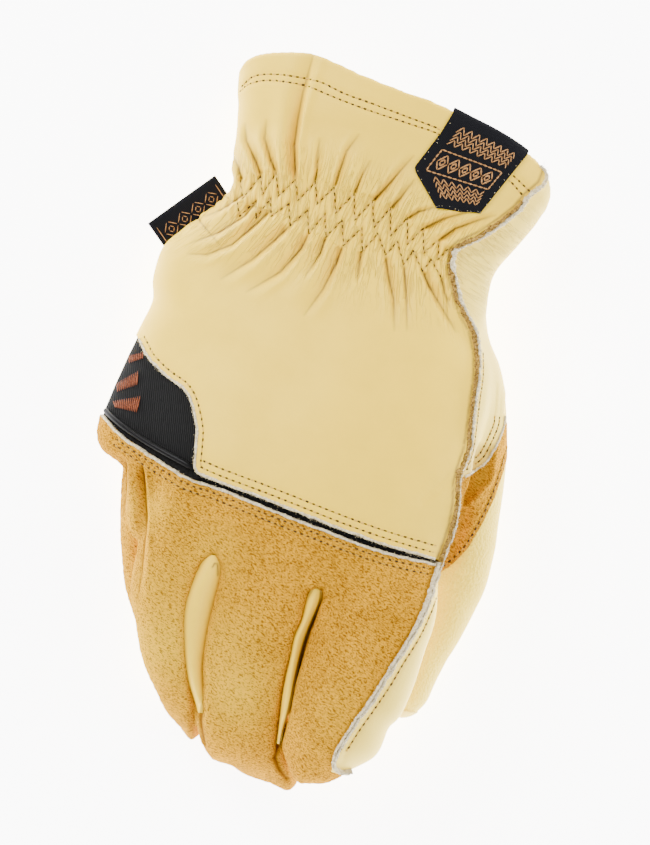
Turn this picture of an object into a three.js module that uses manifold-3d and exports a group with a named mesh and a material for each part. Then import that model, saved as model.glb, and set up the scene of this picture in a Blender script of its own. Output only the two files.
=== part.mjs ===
// Insulated leather driver glove for the right hand, lying palm down with its fingers curled.
// Millimetres, +Z up. The fingers point along -Y, the cuff opens along +Y and the thumb is on the +X side.
// The back of the hand slopes down towards the little finger, because the thumb lies under the index side.
import * as THREE from "three";
import { mergeVertices } from "three/addons/utils/BufferGeometryUtils.js";
import Module from "manifold-3d";

const wasm = await Module();
wasm.setup();

// Driving dimensions
const WALL = 3; // leather with its insulation
const GAP = 0.3; // clearance between sewn pieces
const CUFF_END = 103.5; // the cuff's last ring
const CROTCH = -50; // where the fingers part
const HEM = { depth: 9, extra: 1.2 }; // the cuff's edge is folded in and so is thicker
const LABEL = 1; // thickness of a woven label
const WELT = { wide: 1.5, high: 1.5 }; // raw edges of the seam on the thumb side
const PIPING = 1.5; // radius of the cord below the insert
// The mouth's edge slants: how far it runs along Y for each millimetre across, up and down
const MOUTH = { from: 78, across: -0.11, back: 0.75, palm: 0.3, runOut: 12 };
// Elastic folds behind the wrist: their number over the back, how far they stand out and where they fade
const GATHER = { across: 7, depth: 1.4, from: 36, low: 60, high: 80, to: 100 };
// Angles round a finger where the palm's leather begins, counted from the thumb side over the back
const PALM = { right: -38, left: 218 };
// Moves the whole glove so that its box is centred on the origin
const CENTRE = { x: 1.25, y: -0.2 };
// The shapes that cut the panels: how far they reach and how a margin turns their sides round a digit
const CUT = { low: -10, high: 90, side: 90, end: 140, over: 0.5, from: 0.5, turn: 5 };
// The sector over the back of the hand: its reach, its first ring, and how far its sides turn
const BACK = { reach: 160, mouth: 125, past: 5, right: 1 / 40, left: 1 / 60 };

// The hand, from the cuff to the knuckles: its centre, half width, heights above and below the centre,
// and roll in degrees
const hand = [
  { y: CUFF_END, x: -2.5, z: 18.0, wide: 54.5, top: 18.0, bottom: 20.0, roll: 1 },
  { y: 92, x: -0.5, z: 18.0, wide: 52.5, top: 18.5, bottom: 20.0, roll: 1 },
  { y: 80, x: -1.5, z: 18.5, wide: 49.5, top: 17.5, bottom: 19.4, roll: 2 },
  { y: 70, x: -2.5, z: 19.5, wide: 46.0, top: 16.5, bottom: 17.0, roll: 4 },
  { y: 60, x: -6.0, z: 21.0, wide: 48.3, top: 17.5, bottom: 17.0, roll: 6 },
  { y: 48, x: -8.6, z: 23.5, wide: 53.4, top: 19.0, bottom: 17.0, roll: 8 },
  { y: 34, x: -6.4, z: 26.0, wide: 58.0, top: 20.0, bottom: 17.5, roll: 10 },
  { y: 14, x: -6.3, z: 28.5, wide: 60.5, top: 20.5, bottom: 18.0, roll: 12 },
  { y: -6, x: -7.0, z: 30.5, wide: 62.5, top: 20.5, bottom: 17.5, roll: 12 },
  { y: -20, x: -8.2, z: 31.5, wide: 61.5, top: 20.0, bottom: 17.0, roll: 12 },
  { y: -29, x: -3.6, z: 32.5, wide: 55.0, top: 19.0, bottom: 16.0, roll: 11 },
  { y: -40, x: -2.0, z: 33.5, wide: 52.0, top: 16.5, bottom: 14.0, roll: 9 },
  { y: -50, x: 0.0, z: 34.5, wide: 48.0, top: 12.0, bottom: 10.0, roll: 7 },
];

// Each digit from inside the hand to its last joint: centre, half width, half thickness, roll in degrees,
// and the angles from the thumb side between which its back is covered with suede
const digits = {
  index: [
    { x: 32.0, y: -28, z: 39.0, wide: 17.5, thick: 12.5, roll: 9, right: 8, left: 178 },
    { x: 33.6, y: -50, z: 40.0, wide: 17.8, thick: 12.5, roll: 9, right: 12, left: 178 },
    { x: 34.2, y: -68, z: 40.0, wide: 17.6, thick: 12.2, roll: 8, right: 33, left: 178 },
    { x: 33.4, y: -82, z: 38.5, wide: 16.8, thick: 12.0, roll: 6, right: 46, left: 178 },
    { x: 32.4, y: -92, z: 35.5, wide: 15.4, thick: 11.8, roll: 4, right: 54, left: 178 },
    { x: 29.8, y: -99, z: 31.0, wide: 12.8, thick: 11.4, roll: 2, right: 58, left: 178 },
  ],
  middle: [
    { x: -4.0, y: -28, z: 36.5, wide: 17.0, thick: 12.5, roll: 10, right: 40, left: 176 },
    { x: -2.6, y: -50, z: 36.0, wide: 17.4, thick: 12.5, roll: 10, right: 34, left: 176 },
    { x: -1.4, y: -70, z: 34.0, wide: 16.8, thick: 12.0, roll: 10, right: 30, left: 176 },
    { x: 1.4, y: -88, z: 28.5, wide: 14.8, thick: 11.8, roll: 8, right: 24, left: 176 },
    { x: 7.4, y: -102, z: 19.5, wide: 12.8, thick: 11.4, roll: 4, right: 22, left: 176 },
    { x: 12.6, y: -107, z: 10.6, wide: 12.2, thick: 11.0, roll: 0, right: 22, left: 176 },
  ],
  ring: [
    { x: -34.0, y: -28, z: 32.5, wide: 12.5, thick: 12.0, roll: 18, right: 34, left: 170 },
    { x: -33.2, y: -50, z: 33.5, wide: 12.4, thick: 11.4, roll: 18, right: 30, left: 170 },
    { x: -31.2, y: -68, z: 32.5, wide: 11.5, thick: 11.2, roll: 18, right: 28, left: 170 },
    { x: -25.2, y: -84, z: 27.0, wide: 10.4, thick: 10.8, roll: 14, right: 26, left: 170 },
    { x: -18.2, y: -95, z: 18.6, wide: 9.0, thick: 10.4, roll: 8, right: 24, left: 170 },
    { x: -15.6, y: -98, z: 10.0, wide: 8.8, thick: 10.2, roll: 0, right: 24, left: 170 },
  ],
  little: [
    { x: -47.0, y: -22, z: 19.0, wide: 12.5, thick: 11.5, roll: 42, right: 30, left: 178 },
    { x: -44.6, y: -40, z: 13.0, wide: 11.0, thick: 10.6, roll: 42, right: 30, left: 178 },
    { x: -39.4, y: -57, z: 10.0, wide: 10.2, thick: 10.2, roll: 40, right: 30, left: 178 },
    { x: -33.8, y: -71, z: 9.4, wide: 9.6, thick: 9.6, roll: 36, right: 30, left: 178 },
  ],
  thumb: [
    { x: 26.0, y: 54, z: 24.0, wide: 12.0, thick: 11.0, roll: 8 },
    { x: 38.0, y: 30, z: 25.0, wide: 17.4, thick: 15.5, roll: 10 },
    { x: 46.0, y: 8, z: 22.0, wide: 17.2, thick: 15.5, roll: 6 },
    { x: 51.2, y: -14, z: 17.5, wide: 16.0, thick: 14.0, roll: 0 },
    { x: 53.0, y: -36, z: 13.6, wide: 15.0, thick: 12.8, roll: 0 },
    { x: 51.4, y: -56, z: 11.6, wide: 12.8, thick: 11.6, roll: 0 },
    { x: 50.0, y: -71, z: 11.0, wide: 11.2, thick: 11.2, roll: 0 },
  ],
};

// The seam on the thumb side of the back, seen from above
const seam = [
  { y: 106, x: 50.5 },
  { y: 98, x: 48.5 },
  { y: 91, x: 45.5 },
  { y: 81, x: 37.0 },
  { y: 73, x: 28.5 },
  { y: 65, x: 25.4 },
  { y: 58, x: 29.0 },
  { y: 50, x: 38.5 },
  { y: 40, x: 43.0 },
  { y: 29, x: 45.0 },
  { y: 0, x: 48.0 },
  { y: -24, x: 50.0 },
  { y: -50, x: 51.2 },
  { y: -67, x: 46.4 },
  { y: -89, x: 41.0 },
  { y: -99, x: 38.6 },
];

// The black stripe across the knuckles, seen from above: its upper and lower edge
const stripe = [
  { x: -80, upper: -13.0, lower: -17.5 },
  { x: -62, upper: -14.5, lower: -19.0 },
  { x: -48, upper: -17.5, lower: -22.5 },
  { x: -32, upper: -22.0, lower: -27.0 },
  { x: 2, upper: -24.0, lower: -28.0 },
  { x: 34, upper: -27.0, lower: -30.4 },
  { x: 60, upper: -29.0, lower: -31.5 },
];

// The edge of the ribbed black insert, from the side seam to the stripe
const insertEdge = [
  { x: -80, y: 20 },
  { x: -66, y: 15.5 },
  { x: -61, y: 11.0 },
  { x: -54, y: 5.0 },
  { x: -45, y: 1.0 },
  { x: -38.5, y: -5.0 },
  { x: -35, y: -12.0 },
  { x: -33.4, y: -22.4 },
];

// The line on the thumb side below which the thumb's own leather begins, and the suede patch along it
const thumbLine = [
  { x: 18.0, y: -38.0 },
  { x: 42.0, y: -14.0 },
  { x: 50.5, y: -3.0 },
  { x: 57.0, y: 8.5 },
  { x: 59.0, y: 20.0 },
  { x: 57.0, y: 33.0 },
  { x: 80.0, y: 40.0 },
];
const thumbPatch = [
  { x: 38.0, y: -42.0 },
  { x: 36.0, y: -20.0 },
  { x: 50.0, y: -2.0 },
  { x: 57.0, y: 12.0 },
  { x: 66.0, y: 20.0 },
  { x: 74.0, y: 10.0 },
  { x: 64.0, y: -7.0 },
  { x: 59.0, y: -22.0 },
  { x: 50.0, y: -34.0 },
];

// Outlines of the two woven labels, seen from above, and the heights from which they and the patch begin
const LOW = { hexLabel: 24, flagLabel: 15.5, thumbPatch: 15 };
const hexLabel = [
  { x: 14.6, y: 124 },
  { x: 43.0, y: 124 },
  { x: 42.0, y: 106 },
  { x: 35.3, y: 92.5 },
  { x: 33.4, y: 84.5 },
  { x: 18.0, y: 82.0 },
  { x: 8.4, y: 91.7 },
  { x: 13.3, y: 106.8 },
];
const flagLabel = [
  { x: -70.5, y: 50.8 },
  { x: -54.9, y: 71.5 },
  { x: -44.0, y: 63.0 },
  { x: -60.0, y: 41.6 },
];

const degrees = THREE.MathUtils.degToRad;
const fingers = ["index", "middle", "ring", "little"];

// The value of a column at a place in a table: a smooth curve through its rows
function at(rows, key, name, place) {
  const list = rows[0][key] <= rows[rows.length - 1][key] ? rows : [...rows].reverse();
  const last = list.length - 1;
  let i = 0;
  while (i < last - 1 && place > list[i + 1][key]) i++;
  const slope = (k) => {
    const a = list[Math.max(k - 1, 0)];
    const b = list[Math.min(k + 1, last)];
    return (b[name] - a[name]) / (b[key] - a[key]);
  };
  const span = list[i + 1][key] - list[i][key];
  const t = THREE.MathUtils.clamp((place - list[i][key]) / span, 0, 1);
  const [t2, t3] = [t * t, t * t * t];
  return (
    (2 * t3 - 3 * t2 + 1) * list[i][name] +
    (t3 - 2 * t2 + t) * span * slope(i) +
    (3 * t2 - 2 * t3) * list[i + 1][name] +
    (t3 - t2) * span * slope(i + 1)
  );
}

// Closed solids and geometry
function solidOf(geometry) {
  const bare = new THREE.BufferGeometry();
  bare.setAttribute("position", geometry.getAttribute("position"));
  bare.setIndex(geometry.index);
  const merged = mergeVertices(bare, 1e-4);
  return new wasm.Manifold(
    new wasm.Mesh({
      numProp: 3,
      vertProperties: new Float32Array(merged.attributes.position.array),
      triVerts: new Uint32Array(merged.index.array),
    }),
  );
}

function geometryOf(solid) {
  const mesh = solid.getMesh();
  const geometry = new THREE.BufferGeometry();
  geometry.setAttribute("position", new THREE.BufferAttribute(new Float32Array(mesh.vertProperties), 3));
  geometry.setIndex(new THREE.BufferAttribute(new Uint32Array(mesh.triVerts), 1));
  return geometry;
}

// A solid through rings of points, closed by a fan at each end
function loft(rings) {
  const n = rings[0].length;
  const points = rings.flat();
  const index = [];
  for (let i = 0; i < rings.length - 1; i++)
    for (let k = 0; k < n; k++) {
      const [a, b] = [i * n + k, i * n + ((k + 1) % n)];
      index.push(a, b, a + n, b, b + n, a + n);
    }
  for (const [ring, flip] of [[0, true], [rings.length - 1, false]]) {
    const middle = new THREE.Vector3();
    for (const p of rings[ring]) middle.addScaledVector(p, 1 / n);
    const centre = points.push(middle) - 1;
    for (let k = 0; k < n; k++) {
      const [a, b] = [ring * n + k, ring * n + ((k + 1) % n)];
      index.push(...(flip ? [centre, b, a] : [centre, a, b]));
    }
  }
  const geometry = new THREE.BufferGeometry().setFromPoints(points);
  geometry.setIndex(index);
  const made = solidOf(geometry);
  if (made.volume() > 0) return made;
  geometry.setIndex(index.reverse());
  return solidOf(geometry);
}

function prism(plan, low, high) {
  const shape = new THREE.Shape(plan.map((p) => new THREE.Vector2(p.x, p.y)));
  const geometry = new THREE.ExtrudeGeometry(shape, { depth: high - low, bevelEnabled: false });
  return solidOf(geometry.translate(0, 0, low));
}

function box(x0, x1, y0, y1, z0, z1) {
  const geometry = new THREE.BoxGeometry(x1 - x0, y1 - y0, z1 - z0);
  return solidOf(geometry.translate((x0 + x1) / 2, (y0 + y1) / 2, (z0 + z1) / 2));
}

const largest = (solid) => solid.decompose().sort((a, b) => b.volume() - a.volume())[0];

// Angles round the hand: one at each ridge, flank and valley of the folds over the back, fewer below
function handAngles(folded) {
  const angles = [0, 12];
  const steps = folded ? GATHER.across * 2 : 8;
  const edge = steps - 1;
  for (let k = edge; k >= -edge; k--) angles.push(THREE.MathUtils.radToDeg(Math.acos(k / steps)));
  angles.push(168, 180);
  for (let a = 198; a < 360; a += folded ? 18 : 24) angles.push(a);
  return angles.map(degrees);
}

// How far the leather stands out in the folds over the wrist's elastic
function gatherAt(angle, y) {
  if (Math.sin(angle) <= 0) return 0;
  const rise = THREE.MathUtils.smoothstep(y, GATHER.from, GATHER.low);
  const fall = 1 - THREE.MathUtils.smoothstep(y, GATHER.high, GATHER.to);
  return GATHER.depth * rise * fall * Math.cos(2 * Math.PI * GATHER.across * Math.cos(angle));
}

function handPoint(y, angle, grow, folded) {
  const column = (name) => at(hand, "y", name, y);
  const wide = column("wide");
  const tall = Math.sin(angle) > 0 ? column("top") : column("bottom");
  const normal = new THREE.Vector2(Math.cos(angle) / wide, Math.sin(angle) / tall).normalize();
  const out = grow + (folded ? gatherAt(angle, y) : 0);
  const across = wide * Math.cos(angle) + normal.x * out;
  const up = tall * Math.sin(angle) + normal.y * out;
  const roll = degrees(column("roll"));
  const mouth = THREE.MathUtils.smoothstep(y, MOUTH.from, CUFF_END);
  return new THREE.Vector3(
    column("x") + across * Math.cos(roll) - up * Math.sin(roll),
    y + mouth * (MOUTH.across * across + (up > 0 ? MOUTH.back : MOUTH.palm) * up),
    column("z") + across * Math.sin(roll) + up * Math.cos(roll),
  );
}

// Where the rings of the hand's outside and of its hollow lie
const handPlaces = [CUFF_END, 96, 88, 80, 71, 62, 54, 45, 34, 18, 0, -16, -25, -32, -41, CROTCH];
const hollowPlaces = [CUFF_END, 93, 80, 70, 60, 46, 28, 6, -20, -36, CROTCH + WALL];

function handSolid(grow) {
  if (grow >= 0) {
    const angles = handAngles(true);
    return loft(handPlaces.map((y) => angles.map((a) => handPoint(y, a, grow, true))));
  }
  const angles = handAngles(false);
  const rings = hollowPlaces.map((y) => {
    const hem = y > CUFF_END - HEM.depth ? HEM.extra : 0;
    return angles.map((a) => handPoint(y, a, grow - hem, false));
  });
  // The hollow runs out of the mouth
  rings.unshift(rings[0].map((p) => p.clone().setY(p.y + MOUTH.runOut)));
  return loft(rings);
}

// A digit's centre line with the directions across it, to its back and along it
function frameOf(rows, step) {
  const curve = new THREE.CatmullRomCurve3(rows.map((r) => new THREE.Vector3(r.x, r.y, r.z)));
  const share = step / (rows.length - 1);
  const along = curve.getTangent(share);
  const heading = new THREE.Vector3().subVectors(curve.points[rows.length - 2], curve.points[0]).setZ(0);
  const across = new THREE.Vector3(0, 0, 1).cross(heading);
  across.addScaledVector(along, -across.dot(along)).normalize();
  const back = new THREE.Vector3().crossVectors(along, across);
  const table = rows.map((r, i) => ({ ...r, step: i }));
  const value = (name) => at(table, "step", name, step);
  const roll = degrees(value("roll"));
  return {
    centre: curve.getPoint(share),
    along,
    across: across.clone().multiplyScalar(Math.cos(roll)).addScaledVector(back, Math.sin(roll)),
    back: back.clone().multiplyScalar(Math.cos(roll)).addScaledVector(across, -Math.sin(roll)),
    value,
  };
}

const ringPoint = (frame, forward, wide, thick, angle) =>
  frame.centre
    .clone()
    .addScaledVector(frame.along, forward)
    .addScaledVector(frame.across, wide * Math.cos(angle))
    .addScaledVector(frame.back, thick * Math.sin(angle));

// A digit ends in a rounded tip, with its rings at these angles
const tipLeans = [32, 66].map(degrees);

function digitSolid(rows, grow) {
  const sides = grow >= 0 ? 14 : 8;
  const angles = Array.from({ length: sides }, (_, k) => (2 * Math.PI * k) / sides);
  const ring = (step, lean) => {
    const frame = frameOf(rows, step);
    const [wide, thick] = [frame.value("wide") + grow, frame.value("thick") + grow];
    const share = Math.cos(lean);
    return angles.map((a) => ringPoint(frame, thick * Math.sin(lean), wide * share, thick * share, a));
  };
  const rings = rows.map((_, step) => ring(step, 0));
  for (const lean of tipLeans) rings.push(ring(rows.length - 1, lean));
  return loft(rings);
}

// The space round a digit between two angles, for cutting its wall into panels
function digitSector(rows, from, right, left, reach) {
  const steps = 8;
  const ring = (step, lean) => {
    const frame = frameOf(rows, step);
    const [first, last] = [degrees(right(frame)), degrees(left(frame))];
    const wide = frame.value("wide") * Math.cos(lean) + reach;
    const thick = frame.value("thick") * Math.cos(lean) + reach;
    const forward = (frame.value("thick") + reach) * Math.sin(lean);
    const points = [ringPoint(frame, forward, 0, 0, 0)];
    for (let k = 0; k <= steps; k++) {
      const angle = first + ((last - first) * k) / steps;
      points.push(ringPoint(frame, forward, wide, thick, angle));
    }
    return points;
  };
  const rings = [ring(from, 0)];
  for (let step = Math.floor(from) + 1; step < rows.length; step++) rings.push(ring(step, 0));
  for (const lean of [...tipLeans, Math.PI / 2]) rings.push(ring(rows.length - 1, lean));
  return loft(rings);
}

// Everything inside the glove's outer surface, moved outwards by grow; what it rests on flattens it
function gloveForm(grow) {
  let form = handSolid(grow);
  for (const rows of Object.values(digits)) form = form.add(digitSolid(rows, grow));
  return form.intersect(box(-CUT.end, CUT.end, -CUT.end, CUT.end, -grow, CUT.high));
}

const hollow = gloveForm(-WALL);
const shell = gloveForm(0).subtract(hollow);
const clear = gloveForm(GAP);

// The hand's angle at which the surface of its back lies at a place seen from above
function angleAt(x, y) {
  let [low, high] = [0, Math.PI];
  for (let k = 0; k < 30; k++) {
    const middle = (low + high) / 2;
    if (handPoint(y, middle, 0, false).x > x) low = middle;
    else high = middle;
  }
  return low;
}
const seamAngle = (y) => angleAt(at(seam, "y", "x", y), y);

// The space over the back of the hand, from the seam on the thumb side round to the side seam
function backSector(margin) {
  const steps = 4;
  const rings = [BACK.mouth, ...handPlaces, CROTCH - 2].map((y) => {
    const centre = new THREE.Vector3(at(hand, "y", "x", y), y, at(hand, "y", "z", y));
    const edge = handPoint(y, seamAngle(y), 0, false).sub(centre);
    const first = Math.atan2(edge.z, edge.x) - margin * BACK.right;
    const last = Math.PI + degrees(at(hand, "y", "roll", y) + BACK.past) + margin * BACK.left;
    const points = [centre];
    for (let k = 0; k <= steps; k++) {
      const angle = first + ((last - first) * k) / steps;
      const out = new THREE.Vector3(Math.cos(angle), 0, Math.sin(angle));
      points.push(out.multiplyScalar(BACK.reach).add(centre));
    }
    return points;
  });
  return loft(rings);
}

// Plan outlines of the panels, each of them grown by a margin, and what lies below such an outline
const corner = (x, y) => ({ x, y });
const stripeLine = (name, shift) => stripe.map((p) => corner(p.x, p[name] + shift));
const aboveStripe = (margin) => [
  ...stripeLine("upper", -margin),
  corner(CUT.side, CUT.end),
  corner(-CUT.side, CUT.end),
];
const belowStripe = (margin) => [
  ...stripeLine("lower", margin),
  corner(CUT.side, -CUT.end),
  corner(-CUT.side, -CUT.end),
];
const insertOutline = (margin) => [
  ...insertEdge.map((p) => corner(p.x + margin * 0.8, p.y + margin * 0.7)),
  corner(insertEdge[insertEdge.length - 1].x + margin, CROTCH),
  corner(-CUT.side, CROTCH),
];
const thumbOutline = (margin) => [
  ...thumbLine.map((p) => corner(p.x - margin, p.y + margin)),
  corner(CUT.side, -CUT.end),
  corner(thumbLine[0].x - margin, -CUT.end),
];
const under = (outline, low = CUT.low) => prism(outline, low, CUT.high);

const column = (name, by) => (frame) => frame.value(name) + by;
const fixed = (angle) => () => angle;

// One stretch round a finger's wall, between two angles
function side(name, right, left, margin) {
  return digitSector(digits[name], CUT.from, right, left, CUT.over + margin);
}

// Suede over the knuckles and the backs of the fingers
function suedeZone(margin) {
  const turn = margin * CUT.turn;
  let zone = backSector(margin).intersect(
    box(-CUT.side, CUT.side, CROTCH - margin, CUT.end, CUT.low, CUT.high),
  );
  for (const name of fingers)
    zone = zone.add(side(name, column("right", -turn), column("left", turn), margin));
  return zone.intersect(under(belowStripe(margin)));
}

// A side strip between two fingers: the near walls of both and the web where they part
const WEB = 6;
const fourchettes = [
  { name: "fourchette_middle_index", near: "index", next: "middle", low: 27, reach: 4, up: 4 },
  { name: "fourchette_ring_middle", near: "middle", next: "ring", low: 25, reach: 4, up: 4 },
  { name: "fourchette_little_ring", near: "ring", next: "little", low: 13, reach: -6, up: 15 },
];

function fourchetteZone({ near, next, low, reach, up }, margin) {
  const turn = margin * CUT.turn;
  const left = at(digits[next], "y", "x", CROTCH) + reach - margin;
  const right = at(digits[near], "y", "x", CROTCH) - Math.abs(reach) + margin;
  return side(near, column("left", -turn), fixed(PALM.left + turn), margin)
    .add(side(next, fixed(PALM.right - turn), column("right", turn), margin))
    .add(box(left, right, CROTCH - WEB - margin, CROTCH + up + margin, low - margin, CUT.high));
}

function indexSideZone(margin) {
  const turn = margin * CUT.turn;
  return side("index", fixed(PALM.right - turn), column("right", turn), margin).intersect(
    under(belowStripe(margin)),
  );
}

const thumbZone = (margin) =>
  digitSolid(digits.thumb, margin + GAP / 6).intersect(under(thumbOutline(margin)));

function stripeZone(margin) {
  const band = box(-CUT.side, CUT.side, CROTCH, 0, CUT.low, CUT.high);
  return backSector(margin).intersect(band).subtract(under(belowStripe(-margin)));
}

// Each panel takes its own zone of the wall; the next ones keep clear of it by the gap
const zones = [
  ["back", (margin) => backSector(margin / 2).intersect(under(aboveStripe(margin / 2)))],
  ["knuckle_stripe", (margin) => stripeZone(margin / 2)],
  ["finger_back_panel", suedeZone],
  ["index_side_panel", indexSideZone],
  ...fourchettes.map((strip) => [strip.name, (margin) => fourchetteZone(strip, margin)]),
  ["thumb", thumbZone],
];
const pieces = {};
let rest = shell;
for (const [name, zone] of zones) {
  pieces[name] = rest.intersect(zone(0));
  rest = rest.subtract(zone(GAP));
}
pieces.palm_panel = rest;
pieces.side_insert = pieces.back.intersect(under(insertOutline(0)));
pieces.back_panel = pieces.back.subtract(under(insertOutline(GAP)));
pieces.thumb_patch = pieces.thumb.intersect(under(thumbPatch, LOW.thumbPatch));
pieces.thumb = pieces.thumb.subtract(under(thumbPatch, LOW.thumbPatch - GAP));

// A round cord through points, cut so that it lies on the leather
function cord(points, radius, count) {
  const sides = 5;
  const curve = new THREE.CatmullRomCurve3(points);
  const frames = curve.computeFrenetFrames(count, false);
  const rings = [];
  for (let i = 0; i <= count; i++) {
    const centre = curve.getPointAt(i / count);
    const ring = [];
    for (let k = 0; k < sides; k++) {
      const angle = (Math.PI * 2 * k) / sides;
      const across = frames.normals[i].clone().multiplyScalar(radius * Math.cos(angle));
      ring.push(across.addScaledVector(frames.binormals[i], radius * Math.sin(angle)).add(centre));
    }
    rings.push(ring);
  }
  return loft(rings).subtract(clear);
}

// The seam's raw edges run along the back of the hand and on along the index finger
const weltPlaces = [101, 92, 84, 76, 70, 65, 60, 54, 46, 36, 22, 4, -12, -26, -38];
const weltSteps = [1.3, 2, 3, 4, 4.6];
const weltOnHand = weltPlaces.map((y) => handPoint(y, seamAngle(y), WELT.high, true));
const weltOnFinger = weltSteps.map((step) => {
  const frame = frameOf(digits.index, step);
  const [wide, thick] = [frame.value("wide") + WELT.high, frame.value("thick") + WELT.high];
  return ringPoint(frame, 0, wide, thick, degrees(frame.value("right")));
});
pieces.seam_welt = cord([...weltOnHand, ...weltOnFinger], WELT.wide, 36);

const pipingPlaces = [-63, -56, -50, -44, -38, -34];
const pipingLine = pipingPlaces.map((x) => {
  const y = at(stripe, "x", "upper", x) + PIPING;
  return handPoint(y, angleAt(x, y), PIPING, false);
});
pieces.piping = cord(pipingLine, PIPING, 10);

const overCuff = gloveForm(GAP + LABEL).subtract(clear).subtract(hollow);
pieces.hex_label = overCuff.intersect(under(hexLabel, LOW.hexLabel));
pieces.flag_label = prism(flagLabel, LOW.flagLabel, LOW.flagLabel + LABEL).subtract(clear);

const cream = { colour: 0xe6d2a0, roughness: 0.62 };
const suede = { colour: 0xca9740, roughness: 0.95 };
const fabric = { colour: 0x2a2a2a, roughness: 0.85 };
const finishes = {
  back_panel: cream,
  palm_panel: cream,
  index_side_panel: { colour: 0xebdcb8, roughness: 0.62 },
  fourchette_middle_index: cream,
  fourchette_ring_middle: cream,
  fourchette_little_ring: cream,
  thumb: { colour: 0xe8dab2, roughness: 0.7 },
  finger_back_panel: suede,
  thumb_patch: suede,
  side_insert: fabric,
  knuckle_stripe: { colour: 0x0c0c0c, roughness: 1 },
  piping: { colour: 0x101010, roughness: 0.25 },
  seam_welt: { colour: 0xdcd8cc, roughness: 1 },
  hex_label: fabric,
  flag_label: fabric,
};
const glove = new THREE.Group();
for (const [name, { colour, roughness }] of Object.entries(finishes)) {
  const material = new THREE.MeshStandardMaterial({ color: colour, roughness, metalness: 0 });
  const mesh = new THREE.Mesh(geometryOf(largest(pieces[name])), material);
  mesh.name = name;
  mesh.geometry.translate(CENTRE.x, CENTRE.y, 0);
  glove.add(mesh);
}
export default glove;
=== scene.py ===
import math

import bpy
import numpy as np
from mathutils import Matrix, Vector
from mathutils.bvhtree import BVHTree


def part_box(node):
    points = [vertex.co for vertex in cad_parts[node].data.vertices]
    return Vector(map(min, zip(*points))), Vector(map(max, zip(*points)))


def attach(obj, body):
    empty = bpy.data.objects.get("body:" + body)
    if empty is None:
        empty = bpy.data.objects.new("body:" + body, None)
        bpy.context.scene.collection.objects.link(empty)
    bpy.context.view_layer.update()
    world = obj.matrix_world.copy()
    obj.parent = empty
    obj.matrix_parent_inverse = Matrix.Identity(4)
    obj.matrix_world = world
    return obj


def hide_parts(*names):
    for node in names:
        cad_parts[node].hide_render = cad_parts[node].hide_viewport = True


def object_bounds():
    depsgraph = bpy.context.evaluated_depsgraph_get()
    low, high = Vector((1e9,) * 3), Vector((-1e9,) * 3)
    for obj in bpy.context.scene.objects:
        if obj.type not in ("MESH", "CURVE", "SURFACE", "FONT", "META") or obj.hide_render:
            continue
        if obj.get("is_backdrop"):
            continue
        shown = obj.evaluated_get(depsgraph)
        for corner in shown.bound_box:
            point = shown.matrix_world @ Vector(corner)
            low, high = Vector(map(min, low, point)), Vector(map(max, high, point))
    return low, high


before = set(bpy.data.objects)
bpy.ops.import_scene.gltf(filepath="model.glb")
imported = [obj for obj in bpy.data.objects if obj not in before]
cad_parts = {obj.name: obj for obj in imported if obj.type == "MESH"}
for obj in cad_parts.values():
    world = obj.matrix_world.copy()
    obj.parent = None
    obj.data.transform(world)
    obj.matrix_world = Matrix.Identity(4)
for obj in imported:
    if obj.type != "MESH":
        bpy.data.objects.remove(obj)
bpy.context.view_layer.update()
print("frame loaded")

# Tables and surfaces are in millimetres, and a piece's mesh is in metres.
# Plan lines are given as the camera sees them, projected on a level plane through the glove.
tableOrigin = np.array([1.25, -0.2, 0.0])
cameraPlace = np.array([3.56, 3.72, 1500.0])
seenHeight = 25.0
cuffEnd = 103.5
leatherThickness = 2.2
# Even places along a digit at which its nearest place is looked for
digitSteps = 40
# How the mouth's edge leans along the glove: from where, by the place across, by the height on the back and on the
# palm's side, and at what height its rises are full
mouth = {"start": 78.0, "across": -0.11, "back": 0.75, "palm": 0.3, "full": 8}
# The cuff's double edge: its depth, how far it stands out over how far, and the round of its rim
hem = {"depth": 8.0, "lift": 0.35, "before": 2.0, "after": 1.0, "roll": 1.6}
random = np.random.default_rng(11)

# The hand: place along Y, centre X and Z, half width, heights above and below the centre, roll in degrees
handTable = np.array([
    [-50.0, 0.0, 34.5, 48.0, 12.0, 10.0, 7.0],
    [-40.0, -2.0, 33.5, 52.0, 16.5, 14.0, 9.0],
    [-29.0, -3.6, 32.5, 55.0, 19.0, 16.0, 11.0],
    [-20.0, -8.2, 31.5, 61.5, 20.0, 17.0, 12.0],
    [-6.0, -7.0, 30.5, 62.5, 20.5, 17.5, 12.0],
    [14.0, -6.3, 28.5, 60.5, 20.5, 18.0, 12.0],
    [34.0, -6.4, 26.0, 58.0, 20.0, 17.5, 10.0],
    [48.0, -8.6, 23.5, 53.4, 19.0, 17.0, 8.0],
    [60.0, -6.0, 21.0, 48.3, 17.5, 17.0, 6.0],
    [70.0, -2.5, 19.5, 46.0, 16.5, 17.0, 4.0],
    [80.0, -1.5, 18.5, 49.5, 17.5, 19.4, 2.0],
    [92.0, -0.5, 18.0, 52.5, 18.5, 20.0, 1.0],
    [103.5, -2.5, 18.0, 54.5, 18.0, 20.0, 1.0],
])

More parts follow.
